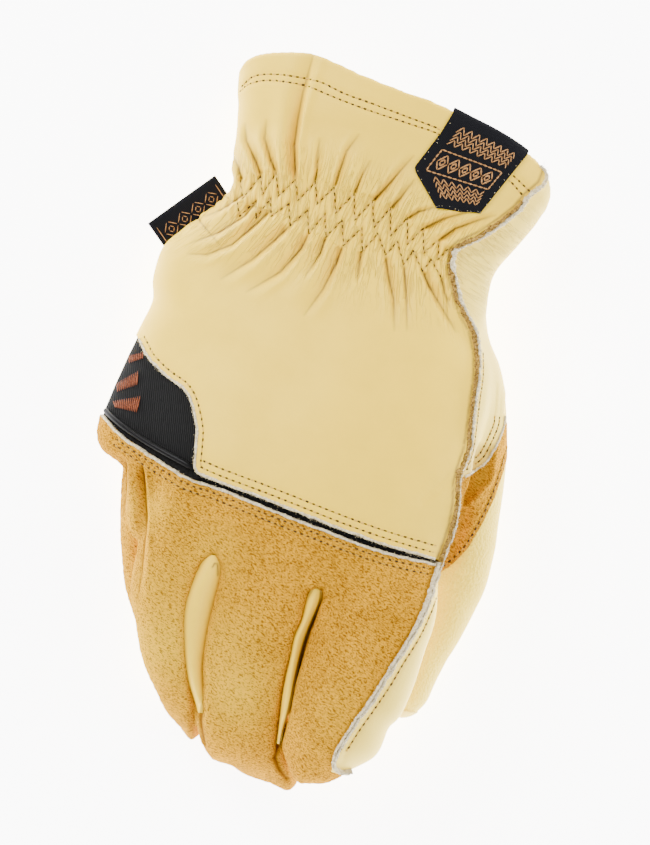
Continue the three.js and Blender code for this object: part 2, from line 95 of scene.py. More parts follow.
# Each digit: centre X, Y and Z, half width, half thickness, roll in degrees
digitTables = {
    "index": np.array([
        [32.0, -28, 39.0, 17.5, 12.5, 9],
        [34.0, -40, 39.6, 18.9, 12.5, 9],
        [35.0, -50, 40.0, 19.6, 12.5, 9],
        [34.8, -68, 40.0, 18.9, 12.2, 8],
        [33.4, -82, 38.5, 17.8, 12.0, 6],
        [32.4, -92, 35.5, 16.2, 11.8, 4],
        [29.8, -99, 31.0, 12.8, 11.4, 2],
    ]),
    "middle": np.array([
        [-4.0, -28, 36.5, 17.0, 12.5, 10],
        [-2.6, -50, 36.0, 17.8, 12.5, 10],
        [-1.4, -70, 34.0, 17.4, 12.0, 10],
        [1.4, -88, 28.5, 15.2, 11.8, 8],
        [7.4, -102, 19.5, 12.8, 11.4, 4],
        [12.6, -107, 10.6, 12.2, 11.0, 0],
    ]),
    "ring": np.array([
        [-34.0, -28, 32.5, 12.5, 12.0, 18],
        [-33.2, -50, 33.5, 12.4, 11.4, 18],
        [-31.2, -68, 32.5, 11.5, 11.2, 18],
        [-25.2, -84, 27.0, 10.4, 10.8, 14],
        [-18.2, -95, 18.6, 9.0, 10.4, 8],
        [-15.6, -98, 10.0, 8.8, 10.2, 0],
    ]),
    "little": np.array([
        [-47.0, -22, 19.0, 12.5, 11.5, 42],
        [-44.6, -40, 13.0, 11.0, 10.6, 42],
        [-39.4, -57, 10.0, 10.2, 10.2, 40],
        [-33.8, -71, 9.4, 9.6, 9.6, 36],
    ]),
    "thumb": np.array([
        [26.0, 54, 24.0, 12.0, 11.0, 8],
        [38.0, 30, 25.0, 17.4, 15.5, 10],
        [46.0, 8, 22.0, 17.2, 15.5, 6],
        [51.2, -14, 17.5, 16.0, 14.0, 0],
        [53.0, -36, 13.6, 15.0, 12.8, 0],
        [51.4, -56, 11.6, 12.8, 11.6, 0],
        [50.0, -71, 11.0, 11.2, 11.2, 0],
    ]),
}

# Seams and edges, as seen in plan
seamLine = np.array([
    [49.5, 104.4], [49.1, 99.4], [45.7, 94.1], [43.5, 89.2], [39.5, 83.7], [34.0, 77.3], [28.1, 72.2],
    [27.0, 69.7], [28.3, 64.0], [31.4, 57.5], [35.6, 51.6], [40.5, 46.4], [44.1, 39.6], [46.2, 32.3],
    [47.3, 24.7], [48.5, 17.2], [49.7, 8.4], [49.3, 1.7], [49.4, -3.0], [51.0, -9.0], [51.9, -17.2],
    [51.6, -24.0], [51.0, -31.3], [51.0, -39.4], [50.7, -46.0], [49.3, -55.0], [46.5, -64.9],
    [44.4, -73.0], [41.7, -81.3], [38.4, -90.9], [36.4, -98.0], [36.0, -102.6],
])
stripeUpper = np.array([
    [-90.0, -6.0], [-75.0, -9.4], [-67.8, -12.8], [-62.2, -15.7], [-54.7, -18.2], [-46.2, -20.3],
    [-37.3, -21.9], [-33.2, -23.6], [-26.1, -24.5], [-13.2, -25.5], [-1.3, -26.6], [12.8, -28.0],
    [20.0, -28.6], [29.9, -29.2], [39.8, -29.4], [49.6, -29.4], [70.0, -29.6],
])
stripeLower = np.array([
    [-90.0, -8.0], [-75.0, -11.6], [-67.4, -14.9], [-61.5, -18.6], [-53.9, -21.2], [-45.2, -23.9],
    [-36.1, -26.2], [-24.5, -26.8], [-12.5, -28.1], [-0.5, -29.3], [13.5, -30.5], [20.7, -31.2],
    [30.7, -31.8], [40.5, -31.6], [50.1, -30.9], [70.0, -30.6],
])
insertEdge = np.array([
    [-80.0, 26.0], [-70.0, 18.0], [-64.3, 13.4], [-59.1, 8.1], [-52.2, 4.3], [-46.4, 2.3], [-43.0, -0.4],
    [-39.6, -5.8], [-37.5, -10.4], [-36.0, -17.3], [-35.0, -21.8], [-33.2, -23.6],
])
slotOneSides = [
    np.array([
        [-21.6, -48.2], [-23.7, -52.1], [-24.6, -58.4], [-25.0, -65.6], [-23.9, -72.4], [-22.0, -78.4],
        [-19.9, -84.4], [-16.9, -91.2], [-13.5, -96.2], [-11.3, -99.8],
    ]),
    np.array([
        [-20.6, -48.0], [-18.4, -50.4], [-17.3, -54.0], [-17.2, -60.1], [-17.0, -66.6], [-16.6, -72.6],
        [-15.9, -78.9], [-14.8, -85.1], [-12.8, -91.4], [-11.3, -96.6], [-11.1, -99.8],
    ]),
]
slotTwoSides = [
    np.array([
        [14.4, -49.4], [13.3, -51.4], [13.2, -56.8], [13.5, -62.0], [12.3, -65.9], [12.9, -71.6],
        [13.1, -78.2], [13.7, -85.7], [14.9, -93.0], [16.4, -102.5],
    ]),
    np.array([
        [15.3, -49.3], [16.6, -52.4], [16.0, -58.5], [15.3, -65.2], [15.3, -73.4], [15.7, -81.5],
        [16.4, -89.5], [16.6, -96.8], [16.8, -102.5],
    ]),
]
slotOne, slotTwo = (np.concatenate((left, right[::-1])) for left, right in (slotOneSides, slotTwoSides))
patchUpper = np.array([
    [42.0, -14.0], [51.3, -0.7], [54.8, 3.2], [57.1, 6.5], [58.3, 11.5], [59.2, 18.8], [58.6, 22.6],
    [56.5, 32.0],
])
patchLower = np.array([
    [63.6, 16.0], [63.6, 4.2], [63.2, -4.3], [61.6, -13.8], [59.1, -23.1], [55.6, -29.4], [53.0, -32.8],
    [46.0, -40.0],
])
hexOutline = np.array([
    [14.6, 124.0], [45.0, 118.0], [42.6, 108.3], [32.4, 84.0], [18.5, 81.5], [7.0, 92.5], [12.6, 106.9],
])

# Dark lines of painted shade: the shadow beside the second slot and on to the tip, the hook at the first slot's end,
# and the creased line between the ring and middle tips, the first and last also grooved; and the soft fold over the
# thumb's patch, with painted shade in the hollow beside it
slotShadow = np.array([
    [16.4, -49.6], [16.4, -58.5], [15.8, -65.2], [15.8, -81.5], [16.8, -89.5], [16.8, -98.0],
    [16.8, -105.6], [17.0, -107.2], [19.3, -110.4], [22.6, -112.8],
])
slotCrescent = np.array([[-20.3, -52.3], [-20.0, -50.9], [-19.0, -50.9], [-17.9, -54.4]])
fingerCrease = np.array([[-11.3, -98.3], [-9.5, -104.0], [-7.0, -109.5]])
patchFold = np.array([[59.5, 9.8], [60.7, 1.0], [58.4, -4.9], [54.2, -10.7], [48.0, -16.0]])

# Where the suede is made paler: plan place, radius and strength
paleSpots = np.array([
    [-27.0, -80.0, 15.0, 0.95], [-1.0, -90.0, 13.0, 0.8], [-22.0, -49.0, 11.0, 0.5], [-46.0, -40.0, 9.0, 0.55],
    [-38.0, -62.0, 9.0, 0.4], [-8.0, -72.0, 10.0, 0.35], [34.0, -88.0, 12.0, 0.25],
])

# How far the outline moves in plan at places along it, and how high the mouth's edge stands out at places across
outlineMoves = np.array([
    [-68.9, -16.0, -0.4, 0.1], [-67.0, -4.0, -0.7, 0.1], [-65.2, 7.0, -0.8, 0.1], [-64.2, 20.0, -0.9, 0.1],
    [-63.9, 25.3, 1.2, -0.6], [-62.8, 35.9, -3.0, -0.2], [-62.3, 43.6, -3.8, 0.2], [-57.0, 51.0, -0.5, 0.4],
    [-53.1, 97.7, -1.1, -0.3], [45.4, 100.0, 0.7, 0.3], [50.6, 99.0, 1.9, 1.0], [46.5, 78.6, 0.8, -0.2],
    [42.2, 52.9, 1.0, 0.4], [47.6, 44.6, -0.8, -0.9], [52.6, 36.7, -0.1, -0.1], [60.0, 22.0, 0.1, 0.0],
    [63.0, 6.7, 0.5, 0.0], [64.1, -2.2, 0.5, 0.0], [65.5, -11.8, 0.3, 0.0], [66.4, -22.1, 1.0, 0.1],
    [66.2, -33.2, 1.5, -0.2], [64.7, -45.0, 0.9, -0.2], [63.4, -51.2, 1.3, -0.1], [60.8, -64.6, 0.3, -0.1],
    [57.5, -74.0, 0.7, -1.6], [53.3, -81.9, 0.8, -3.4], [49.5, -88.0, -1.8, 1.6], [48.0, -93.0, 1.6, -0.3],
    [40.0, -103.0, -0.8, 0.0], [30.0, -110.5, -0.2, -0.5], [21.9, -111.1, 4.2, -5.6], [14.8, -116.3, 1.7, 2.2],
    [6.3, -115.3, 0.1, 1.8], [-2.4, -108.8, -2.7, -3.4], [-9.4, -103.6, -2.2, -6.4], [-16.6, -106.0, 0.8, 2.4],
    [-23.7, -101.9, 1.1, 1.1], [-29.2, -95.6, 1.3, 1.3], [-34.3, -88.8, 0.8, 0.5], [-38.4, -81.7, 1.0, 0.5],
    [-41.8, -74.5, 0.9, 0.7], [-44.5, -68.0, -0.6, -0.4], [-47.0, -62.2, -0.3, -0.1], [-53.0, -46.1, -0.4, -0.1],
    [-56.6, -31.3, -0.9, 0.6], [-61.0, -27.6, 0.3, 1.6], [-63.5, -24.2, -1.3, -5.0], [-66.8, -20.9, -1.8, -0.6],
])
mouthRise = np.array([
    [-56.0, 0.3], [-44.0, 0.9], [-35.4, 1.8], [-31.0, 1.2], [-18.2, -1.0], [-9.8, -1.4], [-1.7, -1.3], [6.2, -0.7],
    [22.0, -0.4], [38.5, 1.0], [45.4, 1.6], [51.0, 1.2],
])

# Valleys of the folds above and below the wrist's elastic: points of the line, depth, half width, and the
# side on which the valley runs out slowly, 1 for the line's left
foldLines = [
    ([(-28.9, 77.8), (-32.7, 89.2), (-33.9, 97.4), (-34.7, 106.7), (-34.8, 122.0)], 2.8, 1.8, 1),
    ([(-46.0, 73.0), (-48.4, 77.0), (-52.5, 82.0)], 1.1, 1.1, -1),
    ([(-40.5, 76.3), (-43.5, 80.4), (-48.4, 86.0), (-50.5, 92.0)], 1.6, 1.3, -1),
    ([(-35.9, 78.6), (-38.7, 82.0), (-42.8, 88.5), (-44.0, 95.0)], 1.5, 1.3, -1),
    ([(-22.8, 79.3), (-23.1, 82.7), (-24.4, 88.5), (-25.5, 94.0)], 1.3, 1.2, -1),
    ([(-16.1, 79.4), (-16.0, 84.7), (-15.6, 91.9), (-13.0, 99.0)], 1.5, 1.3, -1),
    ([(-9.3, 79.2), (-8.5, 85.4), (-7.2, 91.5)], 1.2, 1.2, -1),
    ([(-2.8, 78.5), (-0.2, 83.4), (3.2, 90.5), (6.4, 97.2)], 1.8, 1.5, -1),
    ([(3.5, 77.9), (5.7, 82.0), (8.8, 89.8)], 1.3, 1.3, -1),
    ([(9.8, 76.2), (12.6, 79.3), (18.6, 82.7)], 1.3, 1.2, -1),
    ([(15.8, 74.5), (21.2, 79.4), (29.5, 84.6)], 1.8, 1.4, -1),
    ([(21.8, 72.3), (25.9, 77.4), (32.0, 81.8), (38.0, 85.6)], 1.7, 1.3, -1),
    ([(-44.0, 69.0), (-49.0, 62.5), (-55.0, 57.0)], 1.1, 1.2, -1),
    ([(-39.5, 67.6), (-42.0, 62.0), (-48.2, 54.7), (-57.0, 48.0)], 1.9, 1.7, -1),
    ([(-34.2, 66.4), (-37.4, 60.7), (-43.4, 51.8), (-50.4, 46.4), (-57.0, 44.6)], 2.0, 1.7, -1),
    ([(-26.7, 63.1), (-29.9, 57.7), (-35.7, 48.9), (-44.1, 39.5)], 2.1, 2.0, -1),
    ([(-20.0, 62.2), (-21.0, 56.8), (-25.6, 47.6), (-34.8, 37.7)], 2.0, 2.0, -1),
    ([(-14.2, 62.9), (-14.4, 57.2), (-17.4, 47.5)], 1.5, 1.5, -1),
    ([(-8.0, 61.9), (-8.5, 55.4), (-10.4, 46.0), (-14.2, 35.4)], 1.9, 1.9, -1),
    ([(-1.6, 61.7), (-1.0, 57.4), (-0.3, 50.9)], 1.3, 1.2, -1),
    ([(6.3, 62.4), (9.0, 56.2), (12.9, 49.1), (16.0, 38.8)], 1.8, 1.7, 1),
    ([(12.9, 61.0), (14.8, 56.0), (17.6, 48.3), (20.0, 40.0)], 1.5, 1.5, 1),
    ([(19.4, 60.8), (22.9, 56.6), (28.7, 51.2), (36.0, 44.0)], 1.8, 1.6, 1),
    ([(25.9, 60.3), (28.4, 55.8), (31.8, 51.0)], 1.2, 1.1, 1),
    ([(-52.0, -26.0), (-48.8, -34.1), (-46.4, -41.3), (-44.3, -51.2), (-42.3, -60.1), (-40.6, -72.0)], 2.6, 1.5, -1),
    ([(-57.5, -26.5), (-55.6, -33.0), (-53.0, -45.0)], 1.8, 1.3, -1),
    ([(-61.0, 62.0), (-55.0, 56.0), (-46.0, 50.0)], 0.8, 1.6, -1),
    ([(33.0, 70.0), (37.0, 67.0), (42.0, 66.5)], 0.9, 1.2, 1),
    ([(31.5, 66.5), (35.0, 62.0), (41.0, 59.0)], 0.8, 1.2, 1),
    ([(33.0, 60.0), (37.0, 56.0), (43.0, 53.5)], 0.7, 1.2, 1),
]

# The two rows of zigzag stitches over the elastic: apexes up and down by turns
zigzags = [
    np.array([
        [-46.5, 73.0], [-44.2, 67.4], [-40.5, 76.3], [-38.3, 70.6], [-35.9, 78.6], [-33.0, 71.6],
        [-29.2, 78.2], [-26.4, 72.0], [-22.6, 79.2], [-20.0, 72.6], [-16.2, 79.3], [-13.3, 71.4],
        [-9.3, 79.1], [-6.6, 70.9], [-2.8, 78.4], [0.2, 70.4], [3.5, 77.8], [6.2, 69.2], [9.8, 76.2],
        [12.3, 68.0], [15.8, 74.5], [18.2, 66.6], [21.8, 72.3], [23.4, 66.0], [25.6, 70.2],
    ]),
    np.array([
        [-45.4, 65.6], [-43.6, 61.5], [-39.7, 68.1], [-38.2, 62.6], [-35.3, 70.1], [-33.5, 64.4],
        [-29.0, 70.1], [-26.7, 63.1], [-22.5, 69.7], [-20.0, 62.2], [-16.7, 70.1], [-14.2, 62.9],
        [-10.7, 69.6], [-7.9, 61.9], [-3.7, 68.9], [-1.4, 61.6], [1.9, 68.6], [6.3, 62.6], [8.8, 67.9],
        [12.9, 61.1], [14.7, 66.5], [19.4, 60.8], [21.2, 65.3], [26.0, 60.3],
    ]),
]

# The hem's two rows of stitches
hemRows = [
    np.array([
        [-54.7, 102.9], [-52.1, 107.0], [-47.9, 109.1], [-42.0, 110.5], [-34.0, 111.4], [-29.7, 111.5], [-21.8, 110.1],
        [-12.0, 109.4], [0.5, 108.4], [12.5, 107.3], [25.0, 104.2], [35.0, 101.0], [40.7, 98.8], [46.3, 95.8],
    ]),
    np.array([
        [-54.8, 101.2], [-52.8, 104.2], [-48.3, 106.8], [-42.8, 108.2], [-34.1, 109.1], [-31.0, 108.8], [-23.8, 107.9],
        [-11.3, 106.9], [1.1, 106.4], [12.4, 105.7], [25.0, 102.3], [34.0, 99.4], [39.3, 97.2], [44.6, 93.8],
    ]),
]


# A smooth curve through the rows of a table keyed by its first column: a cubic Hermite spline whose
# slope at each row is the slope between the rows beside it
def tableAt(table, places):
    places = np.asarray(places, float)
    keys = table[:, 0]
    last = len(table) - 1
    before = np.maximum(np.arange(last + 1) - 1, 0)
    after = np.minimum(np.arange(last + 1) + 1, last)
    slopes = (table[after, 1:] - table[before, 1:]) / (keys[after] - keys[before])[:, None]
    i = np.clip(np.searchsorted(keys, places, side="right") - 1, 0, last - 1)
    span = (keys[i + 1] - keys[i])[..., None]
    t = np.clip((places - keys[i])[..., None] / span, 0, 1)
    rise = 3 * t**2 - 2 * t**3
    leave = t**3 - 2 * t**2 + t
    arrive = t**3 - t**2
    return (1 - rise) * table[i, 1:] + rise * table[i + 1, 1:] + span * (leave * slopes[i] + arrive * slopes[i + 1])


def smoothStep(value, low, high):
    t = np.clip((value - low) / (high - low), 0, 1)
    return t * t * (3 - 2 * t)


# One at no distance, and 1/e at the width
def bell(distance, width, power=2):
    return np.exp(-(distance / width) ** power)


# The same directions, one long
def unit(vectors):
    return vectors / np.maximum(np.linalg.norm(vectors, axis=-1), 1e-12)[..., None]


# How far the mouth's edge lies along the glove, by the place across and the height over the centre
def mouthLean(x, across, up):
    lean = mouth["across"] * across + np.where(up > 0, mouth["back"], mouth["palm"]) * up
    return lean + np.interp(x + across, *mouthRise.T) * smoothStep(up, 0, mouth["full"])


# A point of the hand's outer surface, as an ellipse with its own heights above and below, rolled and
# slanted at the mouth
def handPoints(place, angle):
    x, z, wide, top, bottom, roll = np.moveaxis(tableAt(handTable, place), -1, 0)
    across = wide * np.cos(angle)
    up = np.where(np.sin(angle) > 0, top, bottom) * np.sin(angle)
    roll = np.radians(roll)
    return np.stack((
        x + across * np.cos(roll) - up * np.sin(roll),
        place + smoothStep(place, mouth["start"], cuffEnd) * mouthLean(x, across, up),
        z + across * np.sin(roll) + up * np.cos(roll),
    ), -1)


# The centre line of a digit with the directions along it, across it and to its back
def digitFrames(table, steps, beside=0.03):
    keyed = np.column_stack((np.arange(len(table)), table))
    last = len(table) - 1
    values = tableAt(keyed, steps)
    ahead = tableAt(keyed, np.clip(steps + beside, 0, last))[:, :3]
    behind = tableAt(keyed, np.clip(steps - beside, 0, last))[:, :3]
    along = unit(ahead - behind)
    heading = table[-2, :3] - table[0, :3]
    level = np.array([-heading[1], heading[0], 0.0])
    across = unit(level - along * (along @ level)[:, None])
    back = np.cross(along, across)
    roll = np.radians(values[:, 5])[:, None]
    return {
        "centre": values[:, :3],
        "along": along,
        "across": across * np.cos(roll) + back * np.sin(roll),
        "back": back * np.cos(roll) - across * np.sin(roll),
        "wide": values[:, 3],
        "thick": values[:, 4],
    }


# Rings of a tube with elliptic sections and a rounded end, whose last ring leans by the given degrees
def digitRings(table, sides=48, perRow=10, tipRings=8, tipLean=86):
    steps = np.linspace(0, len(table) - 1, (len(table) - 1) * perRow + 1)
    lean = np.radians(np.linspace(0, tipLean, tipRings + 1))[1:]
    frames = digitFrames(table, np.concatenate((steps, np.full(tipRings, len(table) - 1.0))))
    share = np.concatenate((np.ones(len(steps)), np.cos(lean)))
    forward = frames["thick"] * np.concatenate((np.zeros(len(steps)), np.sin(lean)))
    angle = np.linspace(0, 2 * np.pi, sides, endpoint=False)
    column = lambda name: frames[name][:, None, :]
    return (
        column("centre")
        + column("along") * forward[:, None, None]
        + column("across") * (frames["wide"] * share)[:, None, None] * np.cos(angle)[None, :, None]
        + column("back") * (frames["thick"] * share)[:, None, None] * np.sin(angle)[None, :, None]
    )


# A closed tube through rings of points, with a fan at each end, as points and faces
def closedTube(rings):
    count, sides = rings.shape[:2]
    i, k = np.meshgrid(np.arange(count - 1), np.arange(sides), indexing="ij")
    a = i * sides + k
    b = i * sides + (k + 1) % sides
    quads = np.stack((a, b, b + sides, a + sides), -1).reshape(-1, 4)
    ring = np.arange(sides)
    following = (ring + 1) % sides
    far = (count - 1) * sides
    hubs = np.stack((rings[0].mean(0), rings[-1].mean(0)))
    points = np.concatenate((rings.reshape(-1, 3), hubs))
    first = np.stack((following, ring, np.full(sides, count * sides)), -1)
    second = np.stack((far + ring, far + following, np.full(sides, count * sides + 1)), -1)
    return points, quads, np.concatenate((first, second))


# Several closed tubes as one array of points and one list of faces
def joinedTubes(tubes):
    points, faces, offset = [], [], 0
    for rings in tubes:
        tubePoints, quads, fans = closedTube(rings)
        points.append(tubePoints)
        faces += (quads + offset).tolist() + (fans + offset).tolist()
        offset += len(tubePoints)
    return np.concatenate(points), faces


def newObject(name, data):
    made = bpy.data.objects.new(name, data)
    bpy.context.scene.collection.objects.link(made)
    return made


def readValues(items, key, width, kind):
    values = np.empty(len(items) * width, kind)
    items.foreach_get(key, values)
    return values.reshape(-1, width)


# One skin around overlapping closed tubes, as points, edges and triangles
def skinAround(tubes, size):
    mesh = bpy.data.meshes.new("glove_form")
    points, faces = joinedTubes(tubes)
    mesh.from_pydata(points.tolist(), [], faces)
    form = newObject("glove_form", mesh)
    remesh = form.modifiers.new("skin", "REMESH")
    remesh.mode = "VOXEL"
    remesh.voxel_size = size
    skin = form.evaluated_get(bpy.context.evaluated_depsgraph_get()).to_mesh()
    skin.calc_loop_triangles()
    points = readValues(skin.vertices, "co", 3, float)
    edges = readValues(skin.edges, "vertices", 2, int)
    triangles = readValues(skin.loop_triangles, "vertices", 3, int)
    bpy.data.objects.remove(form)
    return points, edges, triangles


def neighbourSum(values, edges, count):
    return np.bincount(edges[:, 0], values[edges[:, 1]], count) + np.bincount(edges[:, 1], values[edges[:, 0]], count)


# Each round moves every point towards the mean of its neighbours, by its own share
def smoothed(points, edges, rounds, share):
    count = len(points)
    degree = np.bincount(edges.ravel(), minlength=count)
    for _ in range(rounds):
        mean = np.stack([neighbourSum(points[:, axis], edges, count) for axis in range(3)], -1) / degree[:, None]
        points = points + (mean - points) * share[:, None]
    return points


def normalsOf(points, triangles):
    a, b, c = (points[triangles[:, k]] for k in range(3))
    faceNormals = np.cross(b - a, c - a)
    total = np.zeros_like(points)
    for axis in range(3):
        for k in range(3):
            total[:, axis] += np.bincount(triangles[:, k], faceNormals[:, axis], len(points))
    return unit(total)


# Splits each edge that has a marked end in the middle, and with them a triangle with one marked corner into
# three and one with more into four
def refined(points, triangles, marked):
    ends = np.sort(np.stack([triangles[:, [k, (k + 1) % 3]] for k in range(3)], 1), axis=2).reshape(-1, 2)
    edges, which = np.unique(ends, axis=0, return_inverse=True)
    split = marked[edges].any(1)
    middle = (len(points) + np.cumsum(split) - 1)[which.ravel()].reshape(-1, 3)
    count = marked[triangles].sum(1)
    one = triangles[count == 1]
    first = np.argmax(marked[one], axis=1)[:, None]
    order = (first + np.arange(3)) % 3
    a, b, c = np.take_along_axis(one, order, 1).T
    ab, _, ca = np.take_along_axis(middle[count == 1], order, 1).T
    made = [np.stack(corners, -1) for corners in ((a, ab, ca), (ab, b, c), (ab, c, ca))]
    a, b, c = triangles[count > 1].T
    ab, bc, ca = middle[count > 1].T
    made += [np.stack(corners, -1) for corners in ((a, ab, ca), (b, bc, ab), (c, ca, bc), (ab, bc, ca))]
    return np.concatenate((points, points[edges[split]].mean(1))), np.concatenate([triangles[count == 0]] + made)


# Where the camera sees a point on the level plane that the plan lines are drawn on
def seenPlan(points):
    eye = cameraPlace - tableOrigin
    share = (eye[2] - seenHeight) / (eye[2] - points[:, 2])
    return eye[:2] + (points[:, :2] - eye[:2]) * share[:, None]


# Distance from plan points to a line of straight pieces, the share of its length at the nearest point, and
# the side of the line that each point is on, 1 for its left
def lineDistance(plan, line):
    best = np.full(len(plan), 1e9)
    share = np.zeros(len(plan))
    side = np.ones(len(plan))
    lengths = np.linalg.norm(np.diff(line, axis=0), axis=1)
    starts = np.concatenate(([0], np.cumsum(lengths)))
    for start, end, length, gone in zip(line[:-1], line[1:], lengths, starts):
        ahead = end - start
        offset = plan - start
        t = np.clip((offset @ ahead) / length**2, 0, 1)
        distance = np.linalg.norm(offset - t[:, None] * ahead, axis=1)
        nearer = distance < best
        best = np.where(nearer, distance, best)
        share = np.where(nearer, (gone + t * length) / starts[-1], share)
        side = np.where(nearer, np.sign(ahead[0] * offset[:, 1] - ahead[1] * offset[:, 0]), side)
    return best, share, side


# Signed distance to a closed outline, positive inside: a point is inside if a level ray to the right of it
# crosses the outline an odd number of times
def insideOutline(plan, outline):
    closed = np.concatenate((outline, outline[:1]))
    distance, _, _ = lineDistance(plan, closed)
    inside = np.zeros(len(plan), bool)
    for (x0, y0), (x1, y1) in zip(closed[:-1], closed[1:]):
        if y0 == y1:
            continue
        spans = (plan[:, 1] < y0) != (plan[:, 1] < y1)
        crossing = x0 + (plan[:, 1] - y0) * (x1 - x0) / (y1 - y0)
        inside ^= spans & (plan[:, 0] < crossing)
    return np.where(inside, distance, -distance)


# Moves a plan line sideways, to its left where the distance is positive
def shiftedLine(line, distance):
    along = unit(np.gradient(line, axis=0))
    return line + np.stack((-along[:, 1], along[:, 0]), -1) * distance


# How far each row of stitches lies from its seam or edge, to the line's left
rowOffsets = {
    "cream": (2.0, 4.3), "insert": (2.0,), "suede": (-1.9, -3.8), "index": (2.7,), "side": (2.2,),
    "patch": (1.6, 3.2), "patchLow": (-1.3,),
}


def stitchRows(line, name):
    return [shiftedLine(line, offset) for offset in rowOffsets[name]]


# The rows that press the leather down: the line, how far, and how wide
pressedRows = [(row, 0.3, 0.8) for row in hemRows]
for line, name, depth, width in (
    (stripeUpper[7:], "cream", 0.25, 0.6), (insertEdge, "insert", 0.25, 0.6), (stripeLower, "suede", 0.3, 0.6),
    (seamLine[23:], "index", 0.25, 0.7), (patchUpper, "patch", 0.25, 0.6), (patchLower, "patchLow", 0.3, 0.6),
):
    pressedRows += [(row, depth, width) for row in stitchRows(line, name)]


def lineHeight(plan, line):
    return plan[:, 1] - np.interp(plan[:, 0], line[:, 0], line[:, 1])


def seamSide(plan):
    return np.interp(plan[:, 1], seamLine[::-1, 1], seamLine[::-1, 0]) - plan[:, 0]


# What the panels' outlines are drawn from: the plan place, the angle round the hand, the place along the
# hand before its mouth slants, and for each digit the angle round it and the size of its section
def measure(points, rounds=4):
    place = points[:, 1].copy()
    for _ in range(rounds):
        x, z, roll = tableAt(handTable, place)[:, [0, 1, 5]].T
        roll = np.radians(roll)
        right, height = points[:, 0] - x, points[:, 2] - z
        across = right * np.cos(roll) + height * np.sin(roll)
        up = height * np.cos(roll) - right * np.sin(roll)
        place = points[:, 1] - smoothStep(place, mouth["start"], cuffEnd) * mouthLean(x, across, up)
    angle = np.degrees(np.arctan2(up, across))
    found = {
        "plan": seenPlan(points),
        "place": place,
        "angle": np.where(angle < -90, angle + 360, angle),
        "height": points[:, 2].copy(),
    }
    # A digit's nearest place is looked for at even steps along it
    for name, table in digitTables.items():
        frames = digitFrames(table, np.linspace(0, len(table) - 1, digitSteps))
        best = np.full(len(points), 1e9)
        ratio = np.full(len(points), 9.0)
        turned = np.zeros(len(points))
        for i in range(digitSteps):
            offset = points - frames["centre"][i]
            distance = (offset**2).sum(1)
            nearer = distance < best
            best = np.where(nearer, distance, best)
            a = offset @ frames["across"][i]
            b = offset @ frames["back"][i]
            f = offset @ frames["along"][i] if i == digitSteps - 1 else 0.0
            size = np.sqrt((a / frames["wide"][i])**2 + (b / frames["thick"][i])**2 + (f / frames["thick"][i])**2)
            ratio = np.where(nearer, size, ratio)
            turned = np.where(nearer, np.degrees(np.arctan2(b, a)), turned)
        found[name + "Ratio"] = ratio
        found[name + "Angle"] = np.where(turned < -90, turned + 360, turned)
    return found


# Where the panels part. Sectors are angles round the hand or a digit, in degrees from the thumb side over the back.
# Reaches turn an angle into millimetres, and floors are the lowest height of what is cut out from above.
zones = {
    "handReach": 40, "digitReach": 12, "back": (-8, 186), "insertReach": 40, "suedeEnd": -48, "seamEnd": -106.5,
    "suede": {"index": (0, 200), "middle": (-6, 200), "ring": (-6, 200), "little": (4, 182)},
    "index": (-42, 110), "thumbWall": (-42, 34), "littleWall": (150, 222),
    "patchFloor": 12, "thumbSize": 1.14, "overSeam": 0.3,
}
slots = {"one": {"outline": slotOne, "floor": 16}, "two": {"outline": slotTwo, "floor": 20}}
insertOutline = np.concatenate((insertEdge, [[-33.2, -30.0], [-95.0, -30.0], [-95.0, 30.0]]))
thumbOutline = np.concatenate(([[18.0, -38.0]], patchUpper, [[80.0, 40.0], [95.0, -140.0], [18.0, -140.0]]))
patchOutline = np.concatenate(([[40.0, -42.0], [40.0, -8.0]], patchUpper[1:-1], patchLower))


def nearest(found, name):
    others = [found[other + "Ratio"] for other in digitTables if other != name]
    return (np.min(others, axis=0) - found[name + "Ratio"]) * zones["digitReach"]


# The space round a finger between two angles, signed in millimetres
def sector(found, name, right, left):
    turned, reach = found[name + "Angle"], zones["digitReach"]
    return np.minimum.reduce((
        np.radians(turned - right) * reach, np.radians(left - turned) * reach, nearest(found, name),
    ))


def upperSide(found):
    low, high = zones["back"]
    angle, reach = found["angle"], zones["handReach"]
    return np.minimum(np.radians(angle - low) * reach, np.radians(high - angle) * reach)


def backZone(found):
    plan = found["plan"]
    return np.minimum.reduce((upperSide(found), seamSide(plan), lineHeight(plan, stripeUpper)))


def insertZone(found):
    inside = np.minimum(insideOutline(found["plan"], insertOutline), zones["insertReach"])
    return np.minimum(backZone(found), inside)


def stripeZone(found):
    plan = found["plan"]
    return np.minimum.reduce((upperSide(found), seamSide(plan), lineHeight(plan, stripeLower)))


def suedeZone(found):
    plan = found["plan"]
    covered = [np.minimum(upperSide(found), plan[:, 1] - zones["suedeEnd"])]
    covered += [sector(found, name, *span) for name, span in zones["suede"].items()]
    side = np.maximum(seamSide(plan), zones["seamEnd"] - plan[:, 1])
    return np.minimum.reduce((
        np.max(covered, axis=0), side, -lineHeight(plan, stripeLower),
        -insideOutline(plan, slotOne), -insideOutline(plan, slotTwo),
    ))


def indexSideZone(found):
    return np.minimum(sector(found, "index", *zones["index"]), -lineHeight(found["plan"], stripeLower))


# A slot's opening from above, and the strip between two fingers: one's wall and the other's
def slotZone(found, slot):
    return np.minimum(insideOutline(found["plan"], slots[slot]["outline"]), found["height"] - slots[slot]["floor"])


def stripZone(found, first, second):
    return np.maximum(sector(found, first, *zones["littleWall"]), sector(found, second, *zones["thumbWall"]))


def thumbZone(found):
    member = np.minimum((zones["thumbSize"] - found["thumbRatio"]) * zones["digitReach"], nearest(found, "thumb"))
    beyond = -seamSide(found["plan"]) + zones["overSeam"]
    return np.minimum.reduce((member, insideOutline(found["plan"], thumbOutline), beyond))


